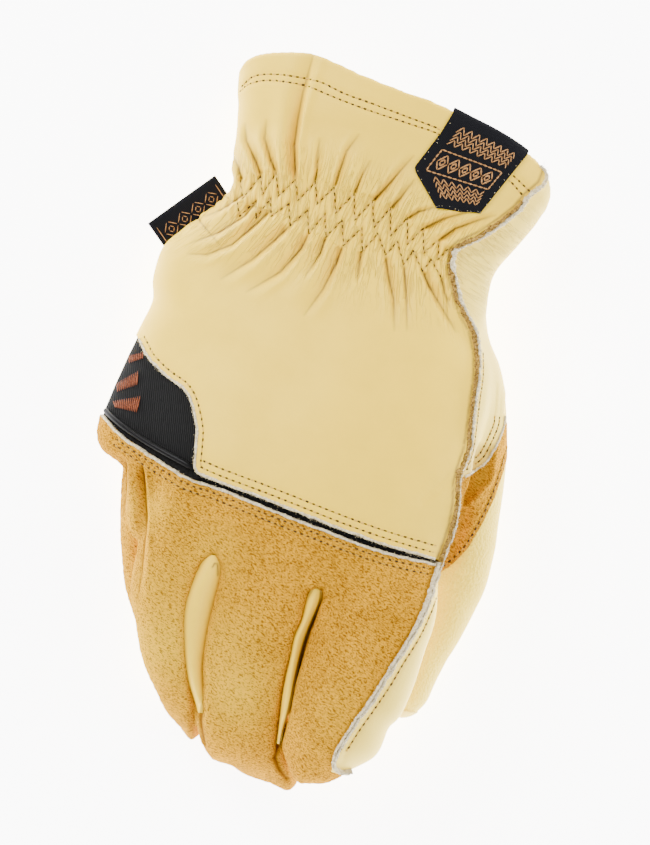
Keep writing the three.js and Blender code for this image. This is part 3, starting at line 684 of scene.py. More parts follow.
def patchZone(found):
    outline = insideOutline(found["plan"], patchOutline)
    beyond = zones["overSeam"] - seamSide(found["plan"])
    return np.minimum.reduce((outline, found["height"] - zones["patchFloor"], beyond))


# Cuts what no panel has taken yet along the zero line of a field. Every triangle with points on both sides has
# one point alone on its side, and is split into one triangle there and two on the other side.
def cutAlong(surface, field):
    points, triangles = surface["points"], surface["triangles"]
    inside = field > 0
    flags = inside[triangles]
    mixed = flags.any(1) & ~flags.all(1) & (surface["labels"] == 0)
    whole, split = triangles[~mixed], triangles[mixed]
    odd = np.argmax(flags[mixed] == (flags[mixed].sum(1) == 1)[:, None], axis=1)
    turned = split[np.arange(len(split))[:, None], (odd[:, None] + np.arange(3)) % 3]
    pairs = np.concatenate((turned[:, [0, 1]], turned[:, [0, 2]]))
    edges, which = np.unique(np.sort(pairs, axis=1), axis=0, return_inverse=True)
    which = which.ravel()
    share = np.clip(field[edges[:, 0]] / (field[edges[:, 0]] - field[edges[:, 1]]), 0.1, 0.9)
    mix = lambda values: values[edges[:, 0]] + (values[edges[:, 1]] - values[edges[:, 0]]) * (
        share[:, None] if values.ndim > 1 else share)
    added = mix(points)
    first = len(points) + which[:len(split)]
    second = len(points) + which[len(split):]
    a, b, c = turned.T
    parts = ((a, first, second), (first, b, c), (first, c, second))
    made = np.concatenate([np.stack(corners, -1) for corners in parts])
    alone = inside[a]
    sides = np.concatenate((inside[whole[:, 0]], alone, ~alone, ~alone))
    labels = surface["labels"]
    found = measure(added)
    return {
        "points": np.concatenate((points, added)),
        "triangles": np.concatenate((whole, made)),
        "labels": np.concatenate((labels[~mixed], np.tile(labels[mixed], 3))),
        "found": {key: np.concatenate((value, found[key])) for key, value in surface["found"].items()},
        "carried": {key: np.concatenate((value, mix(value))) for key, value in surface["carried"].items()},
    }, sides


# The glove's skin: hand and digits in one, blended at the knuckles and the thumb's root, and eased
skinShape = {
    "crotch": -50.0, "past": 14, "rings": 112, "sides": 120, "voxel": 0.8,
    "knuckleStart": (-54, -44), "knuckleEnd": (-20, -8), "thumbSide": (44, 50),
    "rootSize": 1.1, "rootReach": (0.1, 0.5), "rootStart": (-30, 10),
    "blendRounds": 26, "blendShare": 0.5, "easeRounds": 4, "easeShare": 0.4, "moveReach": 6.0, "moveHold": 0.2,
}
places = np.linspace(skinShape["crotch"], cuffEnd + skinShape["past"], skinShape["rings"])
angles = np.linspace(0, 2 * np.pi, skinShape["sides"], endpoint=False)
tubes = [handPoints(places[:, None], angles[None, :])]
tubes += [digitRings(table) for table in digitTables.values()]
formPoints, formEdges, formTriangles = skinAround(tubes, skinShape["voxel"])
print("skin", len(formPoints), "points")
found = measure(formPoints)
x, y, _ = formPoints.T
knuckles = smoothStep(y, *skinShape["knuckleStart"]) * (1 - smoothStep(y, *skinShape["knuckleEnd"]))
knuckles *= 1 - smoothStep(x, *skinShape["thumbSide"])
thumbRoot = 1 - smoothStep(np.abs(found["thumbRatio"] - skinShape["rootSize"]), *skinShape["rootReach"])
thumbRoot *= smoothStep(y, *skinShape["rootStart"])
blend = skinShape["blendShare"] * np.maximum(knuckles, thumbRoot)
formPoints = smoothed(formPoints, formEdges, skinShape["blendRounds"], blend)
ease = np.full(len(formPoints), skinShape["easeShare"])
formPoints = smoothed(formPoints, formEdges, skinShape["easeRounds"], ease)

# The outline's moves, as a mean weighted by nearness
gap = ((seenPlan(formPoints)[:, None] - outlineMoves[None, :, :2]) ** 2).sum(2)
weights = np.exp(-gap / skinShape["moveReach"]**2)
formPoints[:, :2] += weights @ outlineMoves[:, 2:] / (weights.sum(1) + skinShape["moveHold"])[:, None]
formPoints[:, 2] = np.maximum(formPoints[:, 2], 0)

# The mesh is made finer where folds, stitches and slots need it, and once more in the folds
finer = {"lines": 1.9, "folds": 0.6, "facing": 0.1}
foldPaths = [np.array(row[0], float) for row in foldLines]
otherPaths = zigzags + [slotOne, slotTwo, fingerCrease, slotShadow]
for paths, reach in ((foldPaths + otherPaths, finer["lines"]), (foldPaths, finer["folds"])):
    plan = seenPlan(formPoints)
    near = np.min([lineDistance(plan, path)[0] for path in paths], axis=0) < reach
    facing = normalsOf(formPoints, formTriangles)[:, 2] > finer["facing"]
    formPoints, formTriangles = refined(formPoints, formTriangles, near & facing)
plainNormals = normalsOf(formPoints, formTriangles)
found = measure(formPoints)
plan = found["plan"]
print("skin smoothed", len(formTriangles), "triangles")

# Folds, puckers and seam grooves move the skin along its normals, and painted shade darkens their valleys. They lie on
# the back of the hand, on what faces up, and most of them on the fingers' side of the seam.
onBack = smoothStep(found["angle"], 2, 14) * (1 - smoothStep(found["angle"], 176, 188)) * (plainNormals[:, 2] > -0.2)
facing = smoothStep(plainNormals[:, 2], 0.0, 0.25)
beside = (seamSide(plan) > 0).astype(float)
raised = np.zeros(len(formPoints))
# Painted shade for valleys, grooves, slot lips and hollows, carried to the materials as a point attribute
paintedShade = np.zeros(len(formPoints))

# A fold's valley is steep on one side and runs out slowly on the other, and the leather bulges beside it. Pairs
# of values are for the slow and the steep side. The dark and tone values set the valley's painted shade.
foldShape = {
    "valley": 1.3, "reach": (1.5, 0.6), "sharpness": 1.25, "bulge": 0.6, "bulgePlace": (2.6, 1.1), "bulgeFall": 2.2,
    "spread": 0.75, "widening": 0.6, "fade": 1.8,
    "darkPlace": 0.12, "darkWidth": 0.4, "slowTone": 0.3, "slowReach": 0.9, "tone": 0.6, "fullDepth": 4,
}
for path, (_, depth, width, gentle) in zip(foldPaths, foldLines):
    distance, share, side = lineDistance(plan, path)
    fade = (1 - share**foldShape["fade"]) * smoothStep(share, -0.02, 0.08)
    spread = width * (foldShape["spread"] + foldShape["widening"] * share)
    slow = side * gentle > 0
    reach = np.where(slow, *foldShape["reach"]) * spread
    raised -= foldShape["valley"] * depth * fade * bell(distance, reach, foldShape["sharpness"])
    bulge = np.where(slow, *foldShape["bulgePlace"]) * spread
    rise = np.exp(-((distance - bulge) / bulge) ** 2 * foldShape["bulgeFall"])
    raised += foldShape["bulge"] * depth * fade * rise
    # Painted shade: a dark line along the valley, and a softer painted shade running out on its slow side
    across = np.where(slow, distance, -distance)
    slowTone = np.exp(-distance / (foldShape["slowReach"] * spread))
    tone = np.where(slow, foldShape["slowTone"] * slowTone, 0.0)
    tone = np.maximum(tone, bell(across - foldShape["darkPlace"], foldShape["darkWidth"]))
    strength = min(foldShape["tone"] + depth / foldShape["fullDepth"], 1.0)
    paintedShade = np.maximum(paintedShade, np.sqrt(np.maximum(fade, 0)) * tone * strength)

# Between the zigzag rows the leather puffs up in ripples, and it is drawn in along each row of stitches, with painted
# shade along the rows
wristBand = {
    "draw": 0.9, "drawWidth": 0.8, "drawSharpness": 1.4, "tone": 0.4, "toneWidth": 0.5,
    "ripple": 0.6, "pitch": 2.15, "lean": 0.25, "sharpness": 1.5, "puff": 1.1, "below": 24, "above": 18,
}
x, y = plan.T
bandTop = np.interp(x, zigzags[0][0::2, 0], zigzags[0][0::2, 1])
bandLow = np.interp(x, zigzags[1][1::2, 0], zigzags[1][1::2, 1])
inBand = smoothStep(y, bandLow - 3, bandLow + 1) * (1 - smoothStep(y, bandTop - 1, bandTop + 3))
for row in zigzags:
    distance, _, _ = lineDistance(plan, row)
    raised -= wristBand["draw"] * bell(distance, wristBand["drawWidth"], wristBand["drawSharpness"])
    paintedShade = np.maximum(paintedShade, wristBand["tone"] * bell(distance, wristBand["toneWidth"]))
ripples = 0.5 + 0.5 * np.sin(x * 2 * np.pi / wristBand["pitch"] + wristBand["lean"] * y)
raised -= wristBand["ripple"] * inBand * ripples ** wristBand["sharpness"]
nearBand = smoothStep(y, bandLow - wristBand["below"], bandLow - 2)
nearBand = nearBand * (1 - smoothStep(y, bandTop + 1, bandTop + wristBand["above"]))
raised += wristBand["puff"] * nearBand
# On the fingers the whole upper side counts
onBack = np.where(y < -22, 1.0, onBack)
raised *= onBack * facing * beside
paintedShade *= onBack * facing * beside

# The hem is a double layer, drawn in along its stitches; other rows of stitches press the leather down too
hemStart = cuffEnd - hem["depth"]
raised += hem["lift"] * smoothStep(found["place"], hemStart - hem["before"], hemStart + hem["after"])
for row, depth, width in pressedRows:
    distance, _, _ = lineDistance(plan, row)
    raised -= depth * bell(distance, width) * facing

# The leather rises to the seam's raw edges on the thumb side, with a painted shadow line at their foot. Below them it
# is hollow where the thumb joins, with painted shade in the hollow.
seamShape = {
    "rise": 0.6, "riseWidth": 1.6, "tone": 0.85, "tonePlace": 1.1, "toneWidth": 0.45,
    "hollow": 1.6, "hollowPlace": 3.0, "hollowWidth": 2.6, "hollowTone": 0.8, "hollowReach": 3.5,
}
distance, _, _ = lineDistance(plan, seamLine)
raised += seamShape["rise"] * bell(distance, seamShape["riseWidth"]) * facing
foot = bell(distance - seamShape["tonePlace"], seamShape["toneWidth"])
paintedShade = np.maximum(paintedShade, seamShape["tone"] * foot * facing * beside)
besideWelt = smoothStep(y, -36, -24) * (1 - smoothStep(y, 2, 10)) * (1 - beside)
paintedShade = np.maximum(paintedShade, seamShape["hollowTone"] * np.exp(-distance / seamShape["hollowReach"]) * besideWelt)
raised -= seamShape["hollow"] * bell(distance - seamShape["hollowPlace"], seamShape["hollowWidth"]) * besideWelt

# The slots' lips roll in, and a slot's floor is sunk; painted shade darkens the lips
lips = {"sunk": 4.0, "rise": 0.5, "risePlace": 2.4, "riseWidth": 1.4, "fall": 0.5, "fallWidth": 0.8, "tone": 0.5,
        "toneWidth": 0.6}
for outline in (slotOne, slotTwo):
    edge = insideOutline(plan, outline)
    raised -= lips["sunk"] * smoothStep(edge, -0.1, 1.0) * facing
    rise = lips["rise"] * bell(edge + lips["risePlace"], lips["riseWidth"])
    raised += (rise - lips["fall"] * bell(edge, lips["fallWidth"])) * facing
    paintedShade = np.maximum(paintedShade, lips["tone"] * bell(edge, lips["toneWidth"]) * facing)
# The dark lines are grooved, and painted shade darkens them
darkLines = {"width": 0.9, "sharpness": 1.5, "toneWidth": 0.8, "depths": ((slotShadow, 1.2), (fingerCrease, 1.5))}
for line, depth in darkLines["depths"]:
    distance, _, _ = lineDistance(plan, line)
    raised -= depth * bell(distance, darkLines["width"], darkLines["sharpness"]) * facing
    paintedShade = np.maximum(paintedShade, bell(distance, darkLines["toneWidth"]) * facing)

# A soft fold runs over the thumb's suede patch, and a hollow lies between it and the seam, darkened with painted shade
patchShape = {
    "fold": 0.8, "foldWidth": 0.9, "hollow": 1.2, "tone": 0.42, "reach": 2.5, "from": (-18, -8), "to": (9, 13),
}
distance, share, side = lineDistance(plan, patchFold)
raised += patchShape["fold"] * bell(distance, patchShape["foldWidth"]) * (1 - share**3) * facing
hollow = (1 - beside) * (side < 0) * smoothStep(distance, 0, patchShape["reach"]) * smoothStep(y, *patchShape["from"])
hollow *= 1 - smoothStep(y, *patchShape["to"])
raised -= patchShape["hollow"] * hollow
paintedShade = np.maximum(paintedShade, patchShape["tone"] * hollow)

# The pale spots, each fading out round its place
paleSuede = 1 - np.prod([
    1 - strength * np.exp(-((plan - (x, y)) ** 2).sum(1) / radius ** 2) for x, y, radius, strength in paleSpots
], axis=0)


# A sum of waves in several directions, each with its own phase
def waveSum(points, waves):
    phases = random.uniform(0, 2 * np.pi, len(waves))
    return np.sin(points @ waves.T + phases).sum(1) / len(waves)


# The leather has soft, uneven dents, and suede is rougher: finer waves stand for its tufts
dents = {"count": 10, "depth": 0.5, "slowest": 0.12, "fastest": 0.4, "fade": (2, 8)}
waves = random.uniform(-1, 1, (dents["count"], 3))
waves = waves * np.linspace(dents["slowest"], dents["fastest"], dents["count"])[:, None]
raised += dents["depth"] * waveSum(formPoints, waves) * smoothStep(formPoints[:, 2], *dents["fade"])
tufts = {"count": 14, "depth": 0.35, "slowest": 1.6, "fastest": 3.4}
waves = random.normal(0, 1, (tufts["count"], 3))
waves *= (np.linspace(tufts["slowest"], tufts["fastest"], tufts["count"]) / np.linalg.norm(waves, axis=1))[:, None]
raised += tufts["depth"] * waveSum(formPoints, waves) * (suedeZone(found) > 0)

# The hem's edge rolls in
toEdge = np.clip(cuffEnd - found["place"], 0, hem["roll"])
raised -= hem["roll"] - np.sqrt(np.maximum(hem["roll"]**2 - (hem["roll"] - toEdge) ** 2, 0))

# What faces up moves mostly upwards, so that the plan lines stay in place
sideways = 1 - 0.8 * facing
towards = unit(plainNormals * np.column_stack((sideways, sideways, np.ones(len(facing)))))
skinPoints = formPoints + towards * raised[:, None]
skinPoints[:, 2] = np.maximum(skinPoints[:, 2], 0)
skinTree = BVHTree.FromPolygons(skinPoints.tolist(), formTriangles.tolist())
plainTree = BVHTree.FromPolygons(formPoints.tolist(), formTriangles.tolist())
print("skin shaped")

# A flow along the folds, for the fine wrinkles beside them: how far out across them, and along them. Above and
# below the waist the folds fan out from their own middle.
flow = {"waist": 66, "centre": 68, "lowFan": -0.055, "lowMiddle": 2, "highFan": -0.04, "highMiddle": 12, "turn": 1.6}
x, y = plan.T
low = y < flow["waist"]
lean = np.where(low, flow["lowFan"] * (x + flow["lowMiddle"]), flow["highFan"] * (x + flow["highMiddle"]))
lean = lean * (y - flow["centre"]) / 8
flowAcross = x + lean * np.where(low, -1, 1) * flow["turn"]
sideWrinkles = (1 - beside) * smoothStep(y, 44, 58) * (1 - smoothStep(y, 82, 98))
wrinkled = nearBand * beside * onBack + 0.7 * sideWrinkles

sunken = np.maximum(-raised, 0)
innerPoints = formPoints - plainNormals * leatherThickness - towards * (0.8 * sunken)[:, None]
surface = {
    "points": skinPoints,
    "triangles": formTriangles,
    "labels": np.zeros(len(formTriangles), int),
    "found": measure(skinPoints),
    "carried": {
        "paintedShade": paintedShade,
        "wrinkled": wrinkled,
        "flow_across": np.where(beside > 0, flowAcross, y + 0.35 * x),
        "flow_along": np.where(beside > 0, y, x - 0.35 * y),
        "pale": paleSuede,
        "inner": innerPoints,
    },
}

# Each panel takes its own zone of the skin, in this order
panelOrder = [
    ("outside", lambda found: found["place"] - cuffEnd),
    ("fourchette_ring_middle", lambda found: slotZone(found, "one")),
    ("fourchette_middle_index", lambda found: slotZone(found, "two")),
    ("side_insert", insertZone),
    ("back_panel", backZone),
    ("knuckle_stripe", stripeZone),
    ("finger_back_panel", suedeZone),
    ("thumb_patch", patchZone),
    ("index_side_panel", indexSideZone),
    ("fourchette_middle_index", lambda found: np.maximum(slotZone(found, "two"), stripZone(found, "index", "middle"))),
    ("fourchette_ring_middle", lambda found: np.maximum(slotZone(found, "one"), stripZone(found, "middle", "ring"))),
    ("fourchette_little_ring", lambda found: stripZone(found, "ring", "little")),
    ("thumb", thumbZone),
]
for number, (name, zone) in enumerate(panelOrder, 1):
    surface, inside = cutAlong(surface, zone(surface["found"]))
    surface["labels"] = np.where(inside & (surface["labels"] == 0), number, surface["labels"])
print("skin cut into panels", len(surface["triangles"]), "triangles")


def newMesh(name, points, faces):
    mesh = bpy.data.meshes.new(name)
    placed = (points + tableOrigin) / 1000
    placed[:, 2] = np.maximum(placed[:, 2], 0)
    mesh.from_pydata(placed.tolist(), [], faces)
    mesh.update()
    return mesh


# Closes a sheet of triangles with its inner points and a rim along the edges that have one triangle
def closedShell(points, inner, triangles):
    count = len(points)
    edges = np.concatenate([triangles[:, [k, (k + 1) % 3]] for k in range(3)])
    alone = ~np.isin(edges[:, 0] * count + edges[:, 1], edges[:, 1] * count + edges[:, 0])
    a, b = edges[alone].T
    rim = np.concatenate((np.stack((b, a, a + count), -1), np.stack((b, a + count, b + count), -1)))
    return np.concatenate((points, inner)), np.concatenate((triangles, triangles[:, ::-1] + count, rim))


def newPiece(name, mesh, material, replaced=()):
    piece = newObject(name, mesh)
    mesh.materials.append(material)
    mesh.polygons.foreach_set("use_smooth", np.ones(len(mesh.polygons), bool))
    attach(piece, "root")
    if replaced:
        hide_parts(*replaced)
    return piece


def setAttribute(mesh, name, values):
    mesh.attributes.new(name, "FLOAT", "POINT").data.foreach_set("value", np.asarray(values, np.float32))


# A shader node with its settings and inputs; an input is a value or another node's output
def addNode(tree, kind, inputs=None, **settings):
    node = tree.nodes.new(kind)
    for key, value in settings.items():
        setattr(node, key, value)
    for key, value in (inputs or {}).items():
        if isinstance(value, bpy.types.NodeSocket):
            tree.links.new(value, node.inputs[key])
        else:
            node.inputs[key].default_value = value
    return node


def addMath(tree, operation, *values):
    return addNode(tree, "ShaderNodeMath", dict(enumerate(values)), operation=operation).outputs[0]


def newGroup(name, inputs, outputs):
    tree = bpy.data.node_groups.new(name, "ShaderNodeTree")
    kinds = {"value": "NodeSocketFloat", "colour": "NodeSocketColor", "vector": "NodeSocketVector"}
    for label, (kind, value) in inputs.items():
        socket = tree.interface.new_socket(name=label, in_out="INPUT", socket_type=kinds[kind])
        if value is not None:
            socket.default_value = value
    for label, kind in outputs.items():
        tree.interface.new_socket(name=label, in_out="OUTPUT", socket_type=kinds[kind])
    return tree, tree.nodes.new("NodeGroupInput"), tree.nodes.new("NodeGroupOutput")


# A mix of two colours; its sockets are told apart by number because the node has several of each name
def addMix(tree, amount, first, second):
    return addNode(tree, "ShaderNodeMix", {0: amount, 6: first, 7: second}, data_type="RGBA").outputs[2]


def addRamp(tree, value, low, high, toLow=0.0, toHigh=1.0):
    ranged = addNode(tree, "ShaderNodeMapRange", {
        "Value": value, "From Min": low, "From Max": high, "To Min": toLow, "To Max": toHigh,
    }, interpolation_type="SMOOTHSTEP")
    return ranged.outputs[0]


# Leather grain: cells for the pebbles, noise for pores and slow patches; wrinkles run along a flow, and painted shade
# darkens creases and the wrinkles' lines
grain = {"pores": 0.12, "wrinkles": 1.1, "paintedShade": 0.93, "wrinkleShade": -0.2, "patches": 0.1}


def makeLeatherGroup():
    tree, start, end = newGroup("leather_grain", {
        "Vector": ("vector", None), "Flow": ("vector", None), "Wrinkled": ("value", 0.0),
        "PaintedShade": ("value", 0.0), "Pebble": ("value", 0.2), "Colour": ("colour", (0.8, 0.65, 0.4, 1)),
        "Shade": ("colour", (0.6, 0.42, 0.2, 1)),
    }, {"Colour": "colour", "Roughness": "value", "Height": "value"})
    place = start.outputs["Vector"]
    cells = addNode(tree, "ShaderNodeTexVoronoi", {
        "Vector": place, "Scale": 1150.0, "Smoothness": 0.35,
    }, feature="SMOOTH_F1")
    fine = addNode(tree, "ShaderNodeTexNoise", {"Vector": place, "Scale": 1700.0, "Detail": 3.0})
    slow = addNode(tree, "ShaderNodeTexNoise", {"Vector": place, "Scale": 38.0, "Detail": 4.0, "Roughness": 0.6})
    pattern = addNode(tree, "ShaderNodeTexNoise", {
        "Vector": start.outputs["Flow"], "Scale": 1.0, "Detail": 2.5, "Distortion": 0.35,
    })
    ridge = addRamp(tree, addMath(tree, "ABSOLUTE", addMath(tree, "SUBTRACT", pattern.outputs[0], 0.5)), 0.0, 0.055)
    wrinkle = addMath(tree, "MULTIPLY", addMath(tree, "SUBTRACT", ridge, 1.0), start.outputs["Wrinkled"])
    pebbles = addMath(tree, "MULTIPLY", cells.outputs["Distance"], start.outputs["Pebble"])
    pores = addMath(tree, "MULTIPLY", fine.outputs[0], grain["pores"])
    height = addMath(tree, "SUBTRACT", pores, pebbles)
    height = addMath(tree, "ADD", height, addMath(tree, "MULTIPLY", wrinkle, grain["wrinkles"]))
    # Painted shade: the attribute and the wrinkles' lines mix the colour towards the shade colour
    dark = addMath(tree, "MULTIPLY", start.outputs["PaintedShade"], grain["paintedShade"])
    dark = addMath(tree, "ADD", dark, addMath(tree, "MULTIPLY", wrinkle, grain["wrinkleShade"]))
    patch = addRamp(tree, slow.outputs[0], 0.35, 0.7, 0.0, grain["patches"])
    shade = addMath(tree, "MINIMUM", addMath(tree, "ADD", dark, patch), 1.0)
    tree.links.new(addMix(tree, shade, start.outputs["Colour"], start.outputs["Shade"]), end.inputs["Colour"])
    tree.links.new(addRamp(tree, slow.outputs[0], 0.3, 0.7, 0.5, 0.62), end.inputs["Roughness"])
    tree.links.new(height, end.inputs["Height"])
    return tree


# Suede: short fibres lie one way, so the noise is drawn out along them; dark pits show between tufts, and painted
# shade at creases takes the same dark colour
nap = {"turn": 19, "drawn": (0.42, 1.0, 0.8), "tufts": 0.62, "fine": 0.38, "brushed": 0.14, "pale": 0.75, "pits": 0.74,
       "paintedShade": 0.85, "fineHeight": 0.25}


def makeSuedeGroup():
    tree, start, end = newGroup("suede_nap", {
        "Vector": ("vector", None), "PaintedShade": ("value", 0.0), "Pale": ("value", 0.0),
        "Paler": ("colour", (0.9, 0.6, 0.1, 1)), "Light": ("colour", (0.7, 0.45, 0.14, 1)),
        "Middle": ("colour", (0.56, 0.3, 0.06, 1)), "Dark": ("colour", (0.3, 0.13, 0.02, 1)),
    }, {"Colour": "colour", "Height": "value"})
    place = start.outputs["Vector"]
    turned = addNode(tree, "ShaderNodeVectorRotate", {
        "Vector": place, "Axis": (0, 0, 1), "Angle": math.radians(nap["turn"]),
    })
    drawn = addNode(tree, "ShaderNodeVectorMath", {0: turned.outputs[0], 1: nap["drawn"]}, operation="MULTIPLY")
    tufts = addNode(tree, "ShaderNodeTexNoise", {
        "Vector": drawn.outputs[0], "Scale": 2350.0, "Detail": 3.0, "Roughness": 0.6, "Distortion": 0.6,
    })
    fine = addNode(tree, "ShaderNodeTexNoise", {"Vector": place, "Scale": 2300.0, "Detail": 2.0, "Roughness": 0.7})
    brushed = addNode(tree, "ShaderNodeTexNoise", {
        "Vector": place, "Scale": 60.0, "Detail": 4.0, "Roughness": 0.6, "Distortion": 0.6,
    })
    tone = addMath(tree, "MULTIPLY", addRamp(tree, tufts.outputs[0], 0.4, 0.62), nap["tufts"])
    tone = addMath(tree, "ADD", tone, addRamp(tree, fine.outputs[0], 0.36, 0.64, 0.0, nap["fine"]))
    tone = addMath(tree, "ADD", tone, addRamp(tree, brushed.outputs[0], 0.32, 0.68, -nap["brushed"], nap["brushed"]))
    pit = addMath(tree, "MULTIPLY", addRamp(tree, tufts.outputs[0], 0.47, 0.39), nap["pits"])
    colour = addMix(tree, tone, start.outputs["Middle"], start.outputs["Light"])
    pale = addMath(tree, "MULTIPLY", start.outputs["Pale"], nap["pale"])
    colour = addMix(tree, pale, colour, start.outputs["Paler"])
    # Painted shade from the attribute, in the pits' dark colour
    gathered = addMath(tree, "MAXIMUM", pit, addMath(tree, "MULTIPLY", start.outputs["PaintedShade"], nap["paintedShade"]))
    colour = addMix(tree, gathered, colour, start.outputs["Dark"])
    height = addMath(tree, "ADD", tufts.outputs[0], addMath(tree, "MULTIPLY", fine.outputs[0], nap["fineHeight"]))
    tree.links.new(colour, end.inputs["Colour"])
    tree.links.new(height, end.inputs["Height"])
    return tree


# Ribbed cloth: ribs run along one direction, crossed by finer threads
def makeRibGroup():
    tree, start, end = newGroup("rib_weave", {
        "Vector": ("vector", None), "Angle": ("value", 0.0), "Pitch": ("value", 0.00105),
        "Colour": ("colour", (0.03, 0.03, 0.03, 1)), "Valley": ("colour", (0.01, 0.01, 0.01, 1)),
    }, {"Colour": "colour", "Height": "value"})
    turned = addNode(tree, "ShaderNodeVectorRotate", {"Vector": start.outputs["Vector"], "Axis": (0, 0, 1),
                                                      "Angle": start.outputs["Angle"]})
    parts = addNode(tree, "ShaderNodeSeparateXYZ", {0: turned.outputs[0]})
    ribs = addMath(tree, "MULTIPLY", addMath(tree, "DIVIDE", parts.outputs[0], start.outputs["Pitch"]), 2 * math.pi)
    threads = addMath(tree, "MULTIPLY", addMath(tree, "DIVIDE", parts.outputs[1], start.outputs["Pitch"]), 4 * math.pi)
    wave = addMath(tree, "MULTIPLY_ADD", addMath(tree, "SINE", ribs), 0.5, 0.5)
    cross = addMath(tree, "MULTIPLY_ADD", addMath(tree, "SINE", threads), 0.5, 0.5)
    height = addMath(tree, "ADD", addMath(tree, "MULTIPLY", wave, 0.75), addMath(tree, "MULTIPLY", cross, 0.25))
    tree.links.new(addMix(tree, height, start.outputs["Valley"], start.outputs["Colour"]), end.inputs["Colour"])
    tree.links.new(height, end.inputs["Height"])
    return tree


# Felted or cut fibres: fine clumps with darker gaps
def makeFeltGroup():
    tree, start, end = newGroup("felted_fibres", {
        "Vector": ("vector", None), "Scale": ("value", 1600.0), "Light": ("colour", (0.7, 0.68, 0.62, 1)),
        "Dark": ("colour", (0.35, 0.3, 0.22, 1)),
    }, {"Colour": "colour", "Height": "value"})
    clumps = addNode(tree, "ShaderNodeTexNoise", {"Vector": start.outputs["Vector"], "Scale": start.outputs["Scale"],
                                                  "Detail": 5.0, "Roughness": 0.75, "Distortion": 0.7})
    tone = addRamp(tree, clumps.outputs[0], 0.36, 0.62)
    tree.links.new(addMix(tree, tone, start.outputs["Dark"], start.outputs["Light"]), end.inputs["Colour"])
    tree.links.new(clumps.outputs[0], end.inputs["Height"])
    return tree


leatherGroup = makeLeatherGroup()
suedeGroup = makeSuedeGroup()
ribGroup = makeRibGroup()
feltGroup = makeFeltGroup()


def newMaterial(name, roughness, specular=0.35):
    material = bpy.data.materials.new(name)
    material.use_nodes = True
    tree = material.node_tree
    shader = tree.nodes["Principled BSDF"]
    shader.inputs["Roughness"].default_value = roughness
    shader.inputs["Specular IOR Level"].default_value = specular
    coords = addNode(tree, "ShaderNodeTexCoord").outputs["Object"]
    return material, tree, shader, coords


def readAttribute(tree, name):
    return addNode(tree, "ShaderNodeAttribute", attribute_name=name).outputs["Fac"]


# Places a node group in a material: its colour feeds the shader's, and its height a bump of the given depth
def addFinish(tree, shader, group, inputs, depth):
    finish = addNode(tree, "ShaderNodeGroup", inputs, node_tree=group)
    tree.links.new(finish.outputs["Colour"], shader.inputs["Base Color"])
    bump = addNode(tree, "ShaderNodeBump", {"Height": finish.outputs["Height"], "Strength": 1.0, "Distance": depth})
    tree.links.new(bump.outputs[0], shader.inputs["Normal"])
    return finish


def leatherMaterial(name, colour, shade, pebble, depth):
    material, tree, shader, coords = newMaterial(name, 0.55)
    flowPlace = addNode(tree, "ShaderNodeCombineXYZ", {
        0: addMath(tree, "MULTIPLY", readAttribute(tree, "flow_across"), 0.75),
        1: addMath(tree, "MULTIPLY", readAttribute(tree, "flow_along"), 0.09),
    })
    finish = addFinish(tree, shader, leatherGroup, {
        "Vector": coords, "Flow": flowPlace.outputs[0], "Wrinkled": readAttribute(tree, "wrinkled"),
        "PaintedShade": readAttribute(tree, "paintedShade"), "Pebble": pebble, "Colour": (*colour, 1), "Shade": (*shade, 1),
    }, depth)
    tree.links.new(finish.outputs["Roughness"], shader.inputs["Roughness"])
    return material


def suedeMaterial(name, brushed, light, middle, dark):
    material, tree, shader, coords = newMaterial(name, 0.95, 0.04)
    addFinish(tree, shader, suedeGroup, {
        "Vector": coords, "PaintedShade": readAttribute(tree, "paintedShade"), "Pale": readAttribute(tree, "pale"),
        "Paler": (*brushed, 1), "Light": (*light, 1), "Middle": (*middle, 1), "Dark": (*dark, 1),
    }, 0.0009)
    return material


def ribMaterial(name, colour, valley, angle, pitch, depth):
    material, tree, shader, coords = newMaterial(name, 0.85, 0.05)
    addFinish(tree, shader, ribGroup, {
        "Vector": coords, "Angle": math.radians(angle), "Pitch": pitch, "Colour": (*colour, 1), "Valley": (*valley, 1),
    }, depth)
    return material


def feltMaterial(name, light, dark, scale=1600.0, roughness=1.0):
    material, tree, shader, coords = newMaterial(name, roughness, 0.12)
    addFinish(tree, shader, feltGroup, {
        "Vector": coords, "Scale": scale, "Light": (*light, 1), "Dark": (*dark, 1),
    }, 0.0003)
    return material


def plainMaterial(name, colour, roughness, specular=0.2, darkest=0.76):
    material, tree, shader, coords = newMaterial(name, roughness, specular)
    noise = addNode(tree, "ShaderNodeTexNoise", {"Vector": coords, "Scale": 900.0, "Detail": 2.0})
    darker = tuple(c * darkest for c in colour)
    tone = addMix(tree, noise.outputs[0], (*darker, 1), (*colour, 1))
    tree.links.new(tone, shader.inputs["Base Color"])
    return material


# Leathers: colour, the colour of the painted shade in their creases, the pebbles' strength and the grain's depth
creamLeather = leatherMaterial("cream_leather", (0.98, 0.64, 0.01), (0.2, 0.11, 0.012), 0.1, 0.00025)
# Pale leather: the index strip's own paler colour, partly painted light that lightens the side-facing strip and palm
paleLeather = leatherMaterial("pale_leather", (1.0, 0.73, 0.09), (0.36, 0.2, 0.02), 0.14, 0.00025)
pebbledLeather = leatherMaterial("pebbled_leather", (0.98, 0.7, 0.025), (0.46, 0.25, 0.02), 1.0, 0.0003)
# Suede: paler spots, light, middle, and dark, which also serves as the painted shade in creases
goldenSuede = suedeMaterial(
    "golden_suede", (1.0, 0.6, 0.015), (0.88, 0.42, 0.004), (0.44, 0.19, 0.002), (0.15, 0.05, 0.001))
# Cloth: colour, the valleys' colour, the ribs' angle in degrees, their pitch and depth
ribbedFabric = ribMaterial("ribbed_fabric", (0.018, 0.018, 0.018), (0.002, 0.002, 0.002), -22, 0.00066, 0.0002)
labelFabric = ribMaterial("label_fabric", (0.01, 0.01, 0.012), (0.003, 0.003, 0.004), 20, 0.0005, 0.00008)
